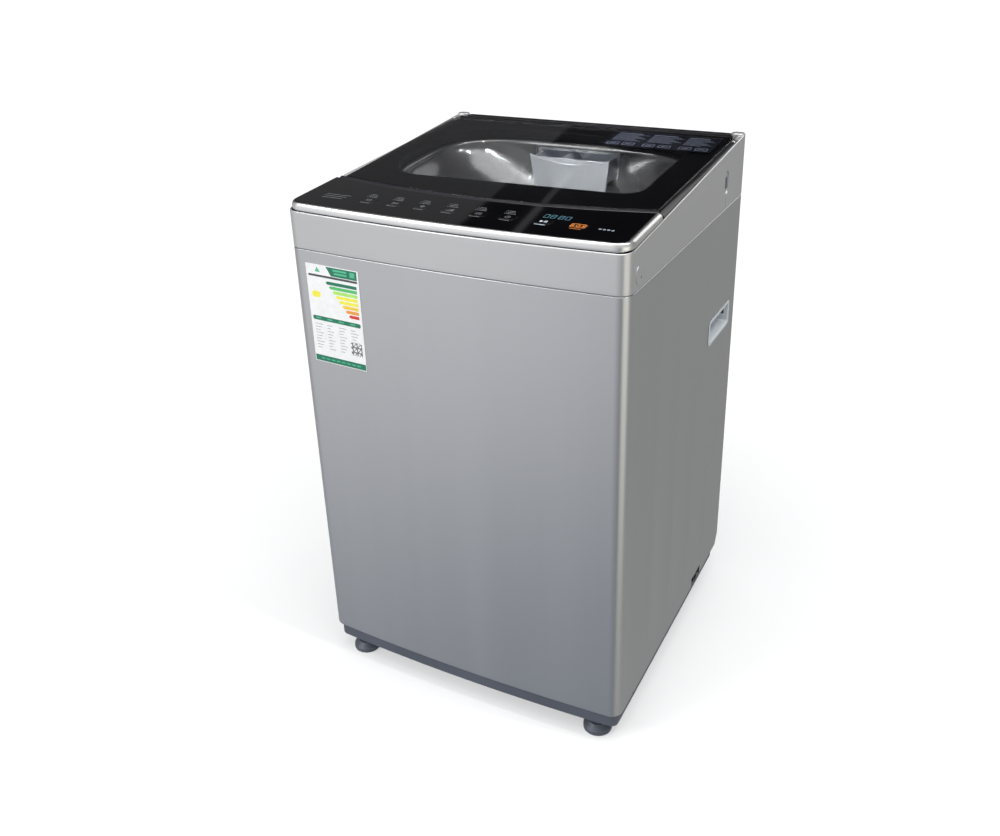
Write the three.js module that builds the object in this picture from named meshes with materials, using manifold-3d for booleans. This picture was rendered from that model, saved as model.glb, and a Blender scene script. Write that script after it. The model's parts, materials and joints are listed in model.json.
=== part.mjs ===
// Top load washing machine, in millimetres: +X to the right, -Y to the front, +Z up, floor at z = 0.
import * as THREE from 'three';
import { mergeVertices } from 'three/addons/utils/BufferGeometryUtils.js';
import Module from 'manifold-3d';

const wasm = await Module();
wasm.setup();

// ---------------------------------------------------------------- driving dimensions
const GAP = 0.3; // clearance between parts that touch

const WIDTH = 550;
const HALF = WIDTH / 2;
const FRONT = -270; // front corners; the middle of the front stands BOW further out
const BACK = 270;
const BOW = 8;
const REACH = BOW - FRONT; // the rear spigots reach as far back as the bow reaches forward
const CORNER = 20;
const REAR_CORNER = 8;
const SHEET = 1.2;

const PLINTH_BOTTOM = 30;
const PANEL_BOTTOM = 57;
const SEAM = 772; // joint between the steel cabinet and the plastic top cover

const TOP_FRONT = 843; // control panel surface at its front edge
const TOP_SLOPE = 0.0612; // rise of the panel and lid per millimetre of depth
const TOP_TILT = Math.atan(TOP_SLOPE);
const SIDE_FRONT = 830; // top edge of the cover's side walls at the front
const SIDE_SLOPE = 0.0837;
const EAR_TOP = 877; // rear corner blocks beside the lid's hinges
const EAR_Y = 253.5;
const EAR_X = 252;
const RAIL_TOP = 866; // the cover's rear edge between the corner blocks
const CHEEK_X = 265.3; // thicker ends of the side walls that hold the hinge pins
const CHEEK_Y = 234;
const COVER_WALL = 2.6;
const DECK_DROP = 24; // deck surface below the panel and lid surface
const DECK = 3;

const MOUTH_X = 228; // loading mouth in the deck
const MOUTH_FRONT = -128;
const MOUTH_BACK = 196;
const FUNNEL_R = 190; // its round lower end
const FUNNEL_BOTTOM = 776;

const LID_X = 264;
const LID_FRONT = 128; // lid corners, measured up the slope from the front edge
const LID_BOW = 28;
const LID_SIDE_BACK = 508;
const LID_BACK = 516;
const LID_FRAME_X = 260; // the frame under the glass, which turns between the cheeks
const SKIRT_BACK = 494; // rear end of the lid's side skirts
const LID_THICK = 17;
const STRIP = 9.6; // depth of the finger strip along the front edge
const GLASS = 4;
const HINGE_UP = 511.5; // hinge axis, measured up the slope
const HINGE_DOWN = 10; // and below the lid surface
const PIN_R = 4;
const PIN_IN = 248; // ends of each hinge pin
const PIN_OUT = 271.5;

const PANEL_GLASS = 3;
const KEY_X = [-152, -106, -60, -14, 32, 78, 132, 184];
const KEY_UP = 46; // key row, measured up the slope from the front edge
const KEY_W = 26;
const KEY_D = 15;
const KEY_H = 7;

const TUB_R = 240;
const TUB_BOTTOM = 160;
const TUB_TOP = 735;
const BASKET_R = 218;
const BASKET_BOTTOM = 190;
const BASKET_TOP = 694;
const PULSATOR_R = 172;
const SHAFT_R = 7;
const PULLEY_R = 82;
const PULLEY_Z = 72;
const PULLEY_H = 14;
const MOTOR_X = -108;
const MOTOR_Y = 104;
const MOTOR_R = 52;
const MOTOR_PULLEY_R = 31;

const ROD_X = 229;
const ROD_Y = 224;
const ROD_R = 4;
const ROD_TOP = 742;
const CUP_Z = 110; // rod cup that carries the spring
const BRACKET_Z = 196; // tub arm that rests on the spring
const SPRING_R = 16;

const FOOT_X = 228;
const FOOT_Y = 240;
const FOOT_R = 24;

const HANDLE_Y = 171;
const HANDLE_Z = 569;
const HANDLE_LONG = 120;
const HANDLE_HIGH = 46;

const DRAWER_X = 70;
const DRAWER_FRONT = 158;
const DRAWER_BACK = 250;
const DRAWER_BOTTOM = 796;
const DRAWER_TOP = 832;
const VALVE_Z = 815;
const VALVE_X = { cold: -163, hot: -112 };
const CORD_X = 190;
const CORD_BORE = 5.5;
const OUTLET_Y = 125;
const OUTLET_Z = 66;
const DRAIN_X = 120;
const DRAIN_Y = 112;

// ---------------------------------------------------------------- materials
const finish = (color, roughness, metalness = 0) =>
  new THREE.MeshStandardMaterial({ color, roughness, metalness });
const SILVER_PAINT = finish(0x8f9196, 0.38, 0.6);
const SILVER_PLASTIC = finish(0xb3b4b8, 0.4, 0.3);
const BRIGHT_TRIM = finish(0xc8c8c8, 0.28, 0.8);
const BLACK_GLOSS = finish(0x0b0c10, 0.08);
const BLACK_PLASTIC = finish(0x17181a, 0.45);
const TINTED_GLASS = finish(0x15181b, 0.05);
const DARK_PLASTIC = finish(0x3d4248, 0.6);
const PALE_PLASTIC = finish(0xd5d8da, 0.5);
const STAINLESS = finish(0xc4c6c8, 0.25, 1);
const GALVANISED = finish(0xa2a5a6, 0.45, 0.9);
const ALUMINIUM = finish(0xb8babb, 0.4, 0.9);
const RUBBER = finish(0x1c1c1c, 0.9);
const BOARD_GREEN = finish(0x1f5a37, 0.6);

// ---------------------------------------------------------------- solids
function solid(geometry) {
  const bare = geometry.clone();
  bare.deleteAttribute('normal');
  bare.deleteAttribute('uv');
  const merged = mergeVertices(bare, 1e-4);
  const mesh = new wasm.Mesh({
    numProp: 3,
    vertProperties: new Float32Array(merged.attributes.position.array),
    triVerts: new Uint32Array(merged.index.array),
  });
  return new wasm.Manifold(mesh);
}

function geometryOf(body) {
  const mesh = body.getMesh();
  const geometry = new THREE.BufferGeometry();
  geometry.setAttribute('position', new THREE.BufferAttribute(new Float32Array(mesh.vertProperties), 3));
  geometry.setIndex(new THREE.BufferAttribute(new Uint32Array(mesh.triVerts), 1));
  geometry.computeVertexNormals();
  return geometry;
}

const box = (x0, x1, y0, y1, z0, z1) =>
  solid(
    new THREE.BoxGeometry(x1 - x0, y1 - y0, z1 - z0)
      .translate((x0 + x1) / 2, (y0 + y1) / 2, (z0 + z1) / 2),
  );

// Upright cylinder or cone from z0 to z1.
const post = (x, y, z0, z1, r, top = r, sides = 14) =>
  solid(
    new THREE.CylinderGeometry(top, r, z1 - z0, sides)
      .rotateX(Math.PI / 2)
      .translate(x, y, (z0 + z1) / 2),
  );

// Cylinder lying along X.
const bar = (x0, x1, y, z, r, sides = 12) =>
  solid(new THREE.CylinderGeometry(r, r, x1 - x0, sides).rotateZ(Math.PI / 2).translate((x0 + x1) / 2, y, z));

// Cylinder lying along Y.
const pipe = (y0, y1, x, z, r, sides = 14) =>
  solid(new THREE.CylinderGeometry(r, r, y1 - y0, sides).translate(x, (y0 + y1) / 2, z));

const prism = (shape, z0, z1, curveSegments = 6) =>
  solid(
    new THREE.ExtrudeGeometry(shape, { depth: z1 - z0, bevelEnabled: false, curveSegments })
      .translate(0, 0, z0),
  );

// A plate whose outline is drawn in Y and Z, reaching from x0 to x1.
function profile(points, x0, x1) {
  const shape = new THREE.Shape(points.map(([y, z]) => new THREE.Vector2(y, z)));
  const geometry = new THREE.ExtrudeGeometry(shape, { depth: x1 - x0, bevelEnabled: false });
  const yzx = new THREE.Matrix4().makeBasis(
    new THREE.Vector3(0, 1, 0),
    new THREE.Vector3(0, 0, 1),
    new THREE.Vector3(1, 0, 0),
  );
  return solid(geometry.applyMatrix4(yzx).translate(x0, 0, 0));
}

// A body turned about a vertical axis from [radius, height] points, in any order of travel.
function turned(points, sides = 28) {
  const outline = points.map(([r, z]) => new THREE.Vector2(r, z));
  if (THREE.ShapeUtils.area(outline) < 0) outline.reverse();
  const start = outline.findIndex((p, i) => p.x === 0 && outline.at(i - 1).x === 0);
  const ordered = start < 0
    ? [...outline, outline[0]]
    : [...outline.slice(start), ...outline.slice(0, start)];
  return solid(new THREE.LatheGeometry(ordered, sides).rotateX(Math.PI / 2));
}

// The solid of a closed triangle list, turned inside out where its faces point in.
function outward(position, index) {
  const geometry = new THREE.BufferGeometry();
  geometry.setAttribute('position', new THREE.Float32BufferAttribute(position, 3));
  geometry.setIndex(index);
  const body = solid(geometry);
  if (body.volume() > 0) return body;
  for (let i = 0; i < index.length; i += 3) [index[i + 1], index[i + 2]] = [index[i + 2], index[i + 1]];
  geometry.setIndex(index);
  return solid(geometry);
}

// A body skinned over rings of equal length; it closes on itself, or is capped at both ends.
function skinned(rings, closed = false) {
  const n = rings[0].length;
  const position = rings.flat().flatMap((p) => [p.x, p.y, p.z]);
  const index = [];
  const spans = closed ? rings.length : rings.length - 1;
  for (let i = 0; i < spans; i += 1) {
    const a = i * n;
    const b = ((i + 1) % rings.length) * n;
    for (let j = 0; j < n; j += 1) {
      const k = (j + 1) % n;
      index.push(a + j, a + k, b + k, a + j, b + k, b + j);
    }
  }
  if (!closed) {
    const cap = THREE.ShapeUtils.triangulateShape(rings[0].map((p) => new THREE.Vector2(p.x, p.y)), []);
    const last = (rings.length - 1) * n;
    for (const [a, b, c] of cap) index.push(a, c, b, last + a, last + b, last + c);
  }
  return outward(position, index);
}

// A convex section swept between two places along Y.
function swept(rings) {
  const n = rings[0].length;
  const index = [];
  for (let j = 0; j < n; j += 1) {
    const k = (j + 1) % n;
    index.push(j, k, n + k, j, n + k, n + j);
  }
  for (let j = 1; j < n - 1; j += 1) index.push(0, j + 1, j, n, n + j, n + j + 1);
  return outward(rings.flat().flatMap((p) => [p.x, p.y, p.z]), index);
}

const join = (first, ...rest) => rest.reduce((body, next) => body.add(next), first);
const cut = (first, ...rest) => rest.reduce((body, next) => body.subtract(next), first);
const mirrorX = (make) => [-1, 1].map(make);
// From a to b on the right-hand side, or the same stretch mirrored to the left.
const spanX = (side, a, b) => (side > 0 ? [a, b] : [-b, -a]);

// ---------------------------------------------------------------- outlines
// Plan of the cabinet: bowed front, straight sides, round front corners.
function plan(inset = 0, back = BACK - inset) {
  const x = HALF - inset;
  const front = FRONT + inset;
  const r = Math.max(CORNER - inset, 3);
  const b = Math.max(REAR_CORNER - inset, 1);
  const shape = new THREE.Shape();
  shape.moveTo(r - x, front);
  shape.quadraticCurveTo(0, front - 2 * BOW, x - r, front);
  shape.absarc(x - r, front + r, r, -Math.PI / 2, 0);
  shape.absarc(x - b, back - b, b, 0, Math.PI / 2);
  shape.absarc(b - x, back - b, b, Math.PI / 2, Math.PI);
  shape.absarc(r - x, front + r, r, Math.PI, 1.5 * Math.PI);
  return shape;
}

// Plan of the control panel, in the tilted top frame: y runs up the slope from the front edge.
function panelPlan(sideInset, frontInset, rearInset) {
  const x = HALF - sideInset;
  const r = 26 - sideInset;
  const front = frontInset;
  const back = LID_FRONT - 2 - rearInset;
  const shape = new THREE.Shape();
  shape.moveTo(r - x, front);
  shape.quadraticCurveTo(0, front - 2 * BOW, x - r, front);
  shape.absarc(x - r, front + r, r, -Math.PI / 2, 0);
  shape.lineTo(x, back);
  shape.quadraticCurveTo(0, back - 2 * LID_BOW, -x, back);
  shape.lineTo(-x, front + r);
  shape.absarc(r - x, front + r, r, Math.PI, 1.5 * Math.PI);
  return shape;
}

// Plan of the lid, in the tilted top frame.
function lidPlan(x, frontInset, back = LID_SIDE_BACK) {
  const front = LID_FRONT + frontInset;
  const shape = new THREE.Shape();
  shape.moveTo(-x, front);
  shape.quadraticCurveTo(0, front - 2 * LID_BOW, x, front);
  shape.lineTo(x, back);
  shape.lineTo(-x, back);
  return shape;
}

// Loading mouth: square at the back, rounder at the front; grow widens it all round.
function mouthPoint(angle, grow = 0) {
  const middle = (MOUTH_FRONT + MOUTH_BACK) / 2;
  const reach = (MOUTH_BACK - MOUTH_FRONT) / 2 + grow;
  const c = Math.cos(angle);
  const s = Math.sin(angle);
  const power = 2 / (s < 0 ? 2.4 : 3.6);
  const x = (MOUTH_X + grow) * Math.sign(c) * Math.abs(c) ** power;
  return [x, middle + reach * Math.sign(s) * Math.abs(s) ** power];
}
const MOUTH_STEPS = 40;
const around = (make) => Array.from({ length: MOUTH_STEPS }, (_, i) => make((i / MOUTH_STEPS) * 2 * Math.PI));
const mouthShape = (grow) => new THREE.Shape(around((a) => new THREE.Vector2(...mouthPoint(a, grow))));

// Height of the panel and lid surface, and of the side walls' top edge.
const topAt = (y) => TOP_FRONT + TOP_SLOPE * (y - FRONT);
const sideAt = (y) => SIDE_FRONT + SIDE_SLOPE * (y - FRONT);

// ---------------------------------------------------------------- assembly groups
const machine = new THREE.Group();
const top = new THREE.Group(); // tilted frame of the control panel and lid
top.position.set(0, FRONT, TOP_FRONT);
top.rotation.x = TOP_TILT;
machine.add(top);

function place(name, body, material, group = machine) {
  const mesh = new THREE.Mesh(geometryOf(body), material);
  mesh.name = name;
  group.add(mesh);
  return mesh;
}

// ---------------------------------------------------------------- cabinet
function cabinetShell() {
  const flange = 26;
  const wrap = cut(
    prism(plan(), PANEL_BOTTOM, SEAM - GAP),
    prism(plan(SHEET), PANEL_BOTTOM - 1, SEAM),
    box(flange - HALF, HALF - flange, BACK - 9, BACK + 1, PANEL_BOTTOM - 1, SEAM + 1),
  );
  // Corner brackets that the suspension rods hang from.
  const bracket = (sx, sy) => {
    const x = sx * (HALF - SHEET / 2);
    const y = sy < 0 ? FRONT + SHEET / 2 : BACK - SHEET * 2 - GAP * 2;
    const reach = 66;
    const plate = new THREE.Shape([
      new THREE.Vector2(x, y - sy * reach),
      new THREE.Vector2(x, y - sy * CORNER * 0.5),
      new THREE.Vector2(x - sx * CORNER * 0.5, y),
      new THREE.Vector2(x - sx * reach, y),
    ]);
    return prism(plate, ROD_TOP - 13, ROD_TOP - 10).subtract(
      post(sx * ROD_X, sy * ROD_Y, ROD_TOP - 20, ROD_TOP, ROD_R + 1, ROD_R + 1, 12),
    );
  };
  const notches = mirrorX((s) => {
    const x0 = s * HALF - 4;
    return join(
      box(x0, x0 + 8, 100, 150, PANEL_BOTTOM - 1, PANEL_BOTTOM + 20),
      box(x0, x0 + 8, -208, -202, PANEL_BOTTOM - 1, PANEL_BOTTOM + 5),
      box(
        x0, x0 + 8,
        HANDLE_Y - HANDLE_LONG / 2 + 2, HANDLE_Y + HANDLE_LONG / 2 - 2,
        HANDLE_Z - HANDLE_HIGH / 2 + 2, HANDLE_Z + HANDLE_HIGH / 2 - 2,
      ),
    );
  });
  const rearChamfer = profile(
    [[BACK - 22, PANEL_BOTTOM - 1], [BACK + 1, PANEL_BOTTOM - 1], [BACK + 1, 98]],
    -300, 300,
  );
  const brackets = [-1, 1].flatMap((sx) => [-1, 1].map((sy) => bracket(sx, sy)));
  return cut(join(wrap, ...brackets), ...notches, rearChamfer);
}

function backPanel() {
  const x = HALF - 14;
  const plate = box(-x, x, BACK - SHEET * 2 - GAP, BACK - SHEET - GAP, 82, SEAM - 9);
  // Stiffening ribs pressed outward, level with the flanges' outer face.
  const ribs = [-150, -50, 50, 150].map((at) =>
    box(at - 12, at + 12, BACK - SHEET * 2, BACK - 0.2, 140, 700));
  return join(plate, ...ribs);
}

function baseFrame() {
  const bosses = [-1, 1].flatMap((sx) =>
    [-1, 1].map((sy) => post(sx * FOOT_X, sy * FOOT_Y, PLINTH_BOTTOM, 78, 21)));
  const bores = [-1, 1].flatMap((sx) =>
    [-1, 1].map((sy) => post(sx * FOOT_X, sy * FOOT_Y, PLINTH_BOTTOM - 1, 79, 6 + GAP, 6 + GAP, 16)));
  const plinth = join(
    prism(plan(7), PLINTH_BOTTOM, PANEL_BOTTOM + 3),
    prism(plan(SHEET + GAP * 2), PANEL_BOTTOM + 1, 78),
  );
  const chamfer = profile(
    [[BACK - 26, PLINTH_BOTTOM - 1], [BACK + 1, PLINTH_BOTTOM - 1], [BACK + 1, 92]],
    -300, 300,
  );
  const window = prism(plan(48), PLINTH_BOTTOM - 1, 79);
  const channel = cut(prism(plan(12), 36, 79), prism(plan(44), 35, 80));
  const ring = cut(plinth, window, channel, chamfer);
  const spigotRelief = box(215, 300, 100, 150, PANEL_BOTTOM - 9, 79);
  return cut(join(ring, ...bosses), ...bores, spigotRelief);
}

function foot(x, y) {
  return join(
    post(x, y, 0, 9, FOOT_R, FOOT_R - 1, 18),
    post(x, y, 9, 16, FOOT_R - 1, 15, 18),
    post(x, y, 15, 22, 13, 13, 6),
    post(x, y, 21, 76, 6, 6, 10),
  );
}

function sideHandle(s) {
  const y0 = HANDLE_Y - HANDLE_LONG / 2;
  const y1 = HANDLE_Y + HANDLE_LONG / 2;
  const z0 = HANDLE_Z - HANDLE_HIGH / 2;
  const z1 = HANDLE_Z + HANDLE_HIGH / 2;
  const depth = 34;
  const wall = 2.4;
  const inner = HALF - depth;
  const bezel = box(...spanX(s, HALF + GAP, HALF + 1.3), y0, y1, z0, z1);
  const cup = box(...spanX(s, inner, HALF + 1), y0 + 2.6, y1 - 2.6, z0 + 2.6, z1 - 2.6);
  const hollow = box(...spanX(s, inner + wall, HALF + 3), y0 + 6, y1 - 6, z0 + 6, z1 - 6);
  const rearOpening = box(...spanX(s, HALF - 25, HALF - 7), y1 - 16, y1 + 2, z1 - 27, z1 - 11);
  return cut(join(bezel, cup), hollow, rearOpening);
}

place('cabinet_shell', cabinetShell(), SILVER_PAINT);
place('back_panel', backPanel(), GALVANISED);
place('base_frame', baseFrame(), DARK_PLASTIC);
for (const [name, sx, sy] of [
  ['foot_front_left', -1, -1],
  ['foot_front_right', 1, -1],
  ['foot_rear_left', -1, 1],
  ['foot_rear_right', 1, 1],
]) {
  place(name, foot(sx * FOOT_X, sy * FOOT_Y), DARK_PLASTIC);
}
place('side_handle_left', sideHandle(-1), PALE_PLASTIC);
place('side_handle_right', sideHandle(1), PALE_PLASTIC);

// ---------------------------------------------------------------- top cover
// Everything between two heights below a sloping surface.
const slab = (at, low, high) =>
  profile(
    [[-320, at(-320) + low], [320, at(320) + low], [320, at(320) + high], [-320, at(-320) + high]],
    -300, 300,
  );

function funnel() {
  const steps = 4;
  const ring = (t, out) =>
    around((a) => {
      const [mx, my] = mouthPoint(a, out);
      const ease = t ** 1.35;
      const x = mx + ((FUNNEL_R + out) * Math.cos(a) - mx) * ease;
      const y = my + ((FUNNEL_R + out) * Math.sin(a) - my) * ease;
      const start = topAt(my) - DECK_DROP - DECK - GAP;
      return new THREE.Vector3(x, y, start + (FUNNEL_BOTTOM - start) * t);
    });
  const inner = Array.from({ length: steps + 1 }, (_, i) => ring(i / steps, 0));
  const outer = Array.from({ length: steps + 1 }, (_, i) => ring(1 - i / steps, 2.5));
  return skinned([...inner, ...outer], true);
}

function topCover() {
  const cheeks = mirrorX((s) => box(...spanX(s, CHEEK_X, HALF - 1), CHEEK_Y, EAR_Y + 1, 846, 900));
  const wall = cut(
    join(cut(prism(plan(), SEAM + GAP, 900), prism(plan(COVER_WALL), SEAM, 901)), ...cheeks),
    slab(sideAt, 0, 120),
    box(-EAR_X, EAR_X, BACK - 12, BACK + 1, RAIL_TOP, 901),
  );
  const lip = cut(prism(plan(2), SEAM - 8, SEAM + 2), prism(plan(4.5), SEAM - 9, SEAM + 3));
  const deck = cut(
    prism(plan(1.5), SEAM, 900).intersect(slab(topAt, -DECK_DROP - DECK, -DECK_DROP)),
    prism(mouthShape(0), 700, 900),
  );
  const ears = mirrorX((s) =>
    prism(plan(), 846, EAR_TOP).intersect(box(...spanX(s, EAR_X, HALF), EAR_Y, BACK, 800, 900)));
  const bores = mirrorX((s) => bar(...spanX(s, CHEEK_X - 1, PIN_OUT + 1), HINGE_Y, HINGE_Z, PIN_R + 0.4));
  const rail = box(-EAR_X - 1, EAR_X + 1, BACK - 10, BACK - 1, 848, RAIL_TOP);
  const valveWindow = box(
    VALVE_X.cold - 31, VALVE_X.hot + 26, BACK - 6, BACK + 1, VALVE_Z - 24, VALVE_Z + 24,
  );
  const cordHole = pipe(BACK - 6, BACK + 1, CORD_X, VALVE_Z, CORD_BORE + 4.5 + GAP, 16);
  return cut(join(wall, lip, deck, ...ears, rail), ...bores, DRAWER_WAY, valveWindow, cordHole);
}

// Way through the deck and the funnel's back for the drawer and its housing.
const DRAWER_WAY = box(-DRAWER_X - 9, DRAWER_X + 9, 150, 263, DRAWER_BOTTOM - 9, 843);

// The hinge axis in the machine's own frame.
const HINGE_Y = FRONT + HINGE_UP * Math.cos(TOP_TILT) + HINGE_DOWN * Math.sin(TOP_TILT);
const HINGE_Z = TOP_FRONT + HINGE_UP * Math.sin(TOP_TILT) - HINGE_DOWN * Math.cos(TOP_TILT);

place('top_cover', topCover(), SILVER_PLASTIC);
place('loading_funnel', funnel().subtract(DRAWER_WAY), SILVER_PLASTIC);

// ---------------------------------------------------------------- control panel
function ringOf(shape, z) {
  return shape.getPoints(6).slice(0, -1).map((p) => new THREE.Vector3(p.x, p.y, z(p.y)));
}

function panelTrim() {
  // The lower edge follows the side walls, which rise a little faster than the panel surface.
  const rise = (SIDE_SLOPE - TOP_SLOPE) / (1 + TOP_SLOPE ** 2);
  const lower = (y) => SIDE_FRONT - TOP_FRONT + 1 + rise * y;
  const body = skinned([
    ringOf(panelPlan(1.5, 1, 0), lower),
    ringOf(panelPlan(8.5, 5, 0), () => -PANEL_GLASS - GAP),
  ]);
  const tray = prism(panelPlan(14, 10, 5), -30, -5.5);
  const mouth = prism(panelPlan(18, 14, 8), -8, 0);
  return cut(body, tray, mouth);
}

const keyAt = (x, grow, z0, z1) => box(
  x - KEY_W / 2 - grow, x + KEY_W / 2 + grow,
  KEY_UP - KEY_D / 2 - grow, KEY_UP + KEY_D / 2 + grow,
  z0, z1,
);

function panelGlass() {
  const plate = prism(panelPlan(8.5, 5, 0), -PANEL_GLASS, 0);
  return cut(plate, ...KEY_X.map((x) => keyAt(x, GAP, -PANEL_GLASS - 1, 1)));
}

function controlBoard() {
  const under = -12.4;
  const plate = box(-205, 214, 18, 88, under, -10.8);
  // Middle, width, depth and height of the blocks that hang from the board.
  const blocks = [[-180, 70, 40, 24, 8], [205, 72, 14, 20, 6]].map(([x, y, w, d, h]) =>
    box(x - w / 2, x + w / 2, y - d / 2, y + d / 2, under - h, under + 0.4));
  return join(plate, ...blocks);
}

place('control_panel_trim', panelTrim(), BRIGHT_TRIM, top);
place('control_panel', panelGlass(), BLACK_GLOSS, top);
place('control_board', controlBoard(), BOARD_GREEN, top);
const KEY_NAMES = ['wash', 'rinse', 'spin', 'level', 'program', 'delay', 'start', 'power'];
KEY_NAMES.forEach((name, i) => {
  place(`key_${name}`, keyAt(KEY_X[i], 0, -KEY_H, 0.2), BLACK_GLOSS, top);
});

// ---------------------------------------------------------------- lid
function lidFrame() {
  const window = new THREE.Shape(
    around((a) => {
      const [x, y] = mouthPoint(a, 5);
      return new THREE.Vector2(x, y - FRONT);
    }),
  );
  const ring = cut(
    prism(lidPlan(LID_FRAME_X, STRIP, LID_BACK), -LID_THICK, -GLASS - GAP),
    prism(window, -30, 1),
  );
  const rearBar = box(-LID_FRAME_X, LID_FRAME_X, LID_SIDE_BACK + GAP, LID_BACK, -LID_THICK, 0);
  // Side skirts that widen down to the cover's side walls.
  const skirtX = HALF - COVER_WALL - 0.5;
  const rise = (SIDE_SLOPE - TOP_SLOPE) / (1 + TOP_SLOPE ** 2);
  const skirts = mirrorX((s) => {
    const at = (y) => {
      const low = Math.min(SIDE_FRONT - TOP_FRONT + 0.5 + rise * y, -GLASS - 1.5);
      return [
        new THREE.Vector3(s * (LID_X - 0.5), y, -GLASS - GAP),
        new THREE.Vector3(s * skirtX, y, low),
        new THREE.Vector3(s * skirtX, y, low - 1),
        new THREE.Vector3(s * (LID_X - 6), y, low - 1),
        new THREE.Vector3(s * (LID_X - 6), y, -GLASS - GAP),
      ];
    };
    return swept([at(LID_FRONT + STRIP), at(SKIRT_BACK)]);
  });
  const pinHoles = mirrorX((s) =>
    bar(...spanX(s, PIN_IN - GAP, LID_FRAME_X + 1), HINGE_UP, -HINGE_DOWN, PIN_R + GAP));
  return cut(join(ring, rearBar, ...skirts), ...pinHoles);
}

const lidGlass = () => prism(lidPlan(LID_X, STRIP), -GLASS, 0);

// Finger strip along the bowed front edge.
function lidTrim() {
  const past = LID_X + 0.2;
  return cut(
    prism(lidPlan(LID_X, 0), -LID_THICK + 2, -0.4),
    prism(lidPlan(past, STRIP - GAP), -40, 1),
    prism(lidPlan(past, 3), -LID_THICK, -7),
  );
}

place('lid_frame', lidFrame(), BLACK_PLASTIC, top);
place('lid_glass', lidGlass(), TINTED_GLASS, top);
place('lid_front_trim', lidTrim(), DARK_PLASTIC, top);
for (const [name, s] of [['lid_hinge_pin_left', -1], ['lid_hinge_pin_right', 1]]) {
  place(name, bar(...spanX(s, PIN_IN, PIN_OUT), HINGE_UP, -HINGE_DOWN, PIN_R), GALVANISED, top);
}

// ---------------------------------------------------------------- water inlet and detergent drawer
function detergentHousing() {
  const shell = box(-DRAWER_X - 8, DRAWER_X + 8, 199, 258, DRAWER_BOTTOM - 8, DRAWER_TOP + 10);
  const way = box(-DRAWER_X - 2, DRAWER_X + 2, 190, 254, DRAWER_BOTTOM - 2, DRAWER_TOP + 4);
  const inlet = bar(-DRAWER_X - 10, -DRAWER_X, 228, VALVE_Z, 7);
  return cut(shell, way, inlet);
}

function detergentDrawer() {
  const x = DRAWER_X;
  const tray = cut(
    box(-x, x, DRAWER_FRONT + 3, DRAWER_BACK, DRAWER_BOTTOM, DRAWER_TOP),
    box(3 - x, -18, DRAWER_FRONT + 8, DRAWER_BACK - 3, DRAWER_BOTTOM + 3, DRAWER_TOP + 1),
    box(-15, x - 3, DRAWER_FRONT + 8, DRAWER_BACK - 3, DRAWER_BOTTOM + 3, DRAWER_TOP + 1),
  );
  const face = new THREE.Shape();
  face.moveTo(-x + 6, 764);
  face.lineTo(x - 6, 764);
  face.lineTo(x + 5, DRAWER_TOP + 4);
  face.quadraticCurveTo(0, DRAWER_TOP - 20, -x - 5, DRAWER_TOP + 4);
  const front = solid(
    new THREE.ExtrudeGeometry(face, { depth: 5, bevelEnabled: false, curveSegments: 10 })
      .rotateX(Math.PI / 2)
      .translate(0, DRAWER_FRONT + 5, 0),
  );
  return join(tray, front);
}

function waterValve(x) {
  return join(
    box(x - 18, x + 18, 216, BACK - 4, VALVE_Z - 18, VALVE_Z + 18),
    post(x, 232, VALVE_Z - 34, VALVE_Z - 17, 14),
    pipe(BACK - 5, REACH, x, VALVE_Z, 13.2),
    bar(x + 17, x + 22, 228, VALVE_Z, 6),
  ).subtract(pipe(BACK - 2, REACH + 1, x, VALVE_Z, 9));
}

const cordGland = () => join(
  pipe(BACK - 10, BACK + 4, CORD_X, VALVE_Z, CORD_BORE + 4.5),
  pipe(BACK + GAP, BACK + 4, CORD_X, VALVE_Z, CORD_BORE + 8.5),
).subtract(pipe(BACK - 11, BACK + 5, CORD_X, VALVE_Z, CORD_BORE, 12));

place('detergent_housing', detergentHousing(), PALE_PLASTIC);
place('detergent_drawer', detergentDrawer(), SILVER_PLASTIC);
place('water_valve_cold', waterValve(VALVE_X.cold), PALE_PLASTIC);
place('water_valve_hot', waterValve(VALVE_X.hot), PALE_PLASTIC);
place('cord_gland', cordGland(), RUBBER);

// ---------------------------------------------------------------- suspension
function suspensionRod(x, y) {
  return join(
    post(x, y, CUP_Z, ROD_TOP, ROD_R, ROD_R, 10),
    post(x, y, CUP_Z - 6, CUP_Z, SPRING_R + 2, SPRING_R + 2, 16),
    post(x, y, ROD_TOP - 10 + GAP, ROD_TOP, 12, 8, 14),
  );
}

const suspensionSpring = (x, y) => cut(
  post(x, y, CUP_Z + GAP, BRACKET_Z - GAP, SPRING_R, SPRING_R, 16),
  post(x, y, 0, 300, SPRING_R - 5, SPRING_R - 5, 16),
);

for (const [side, sx] of [['left', -1], ['right', 1]]) {
  for (const [end, sy] of [['front', -1], ['rear', 1]]) {
    place(`suspension_rod_${end}_${side}`, suspensionRod(sx * ROD_X, sy * ROD_Y), GALVANISED);
    place(`suspension_spring_${end}_${side}`, suspensionSpring(sx * ROD_X, sy * ROD_Y), STAINLESS);
  }
}

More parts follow.
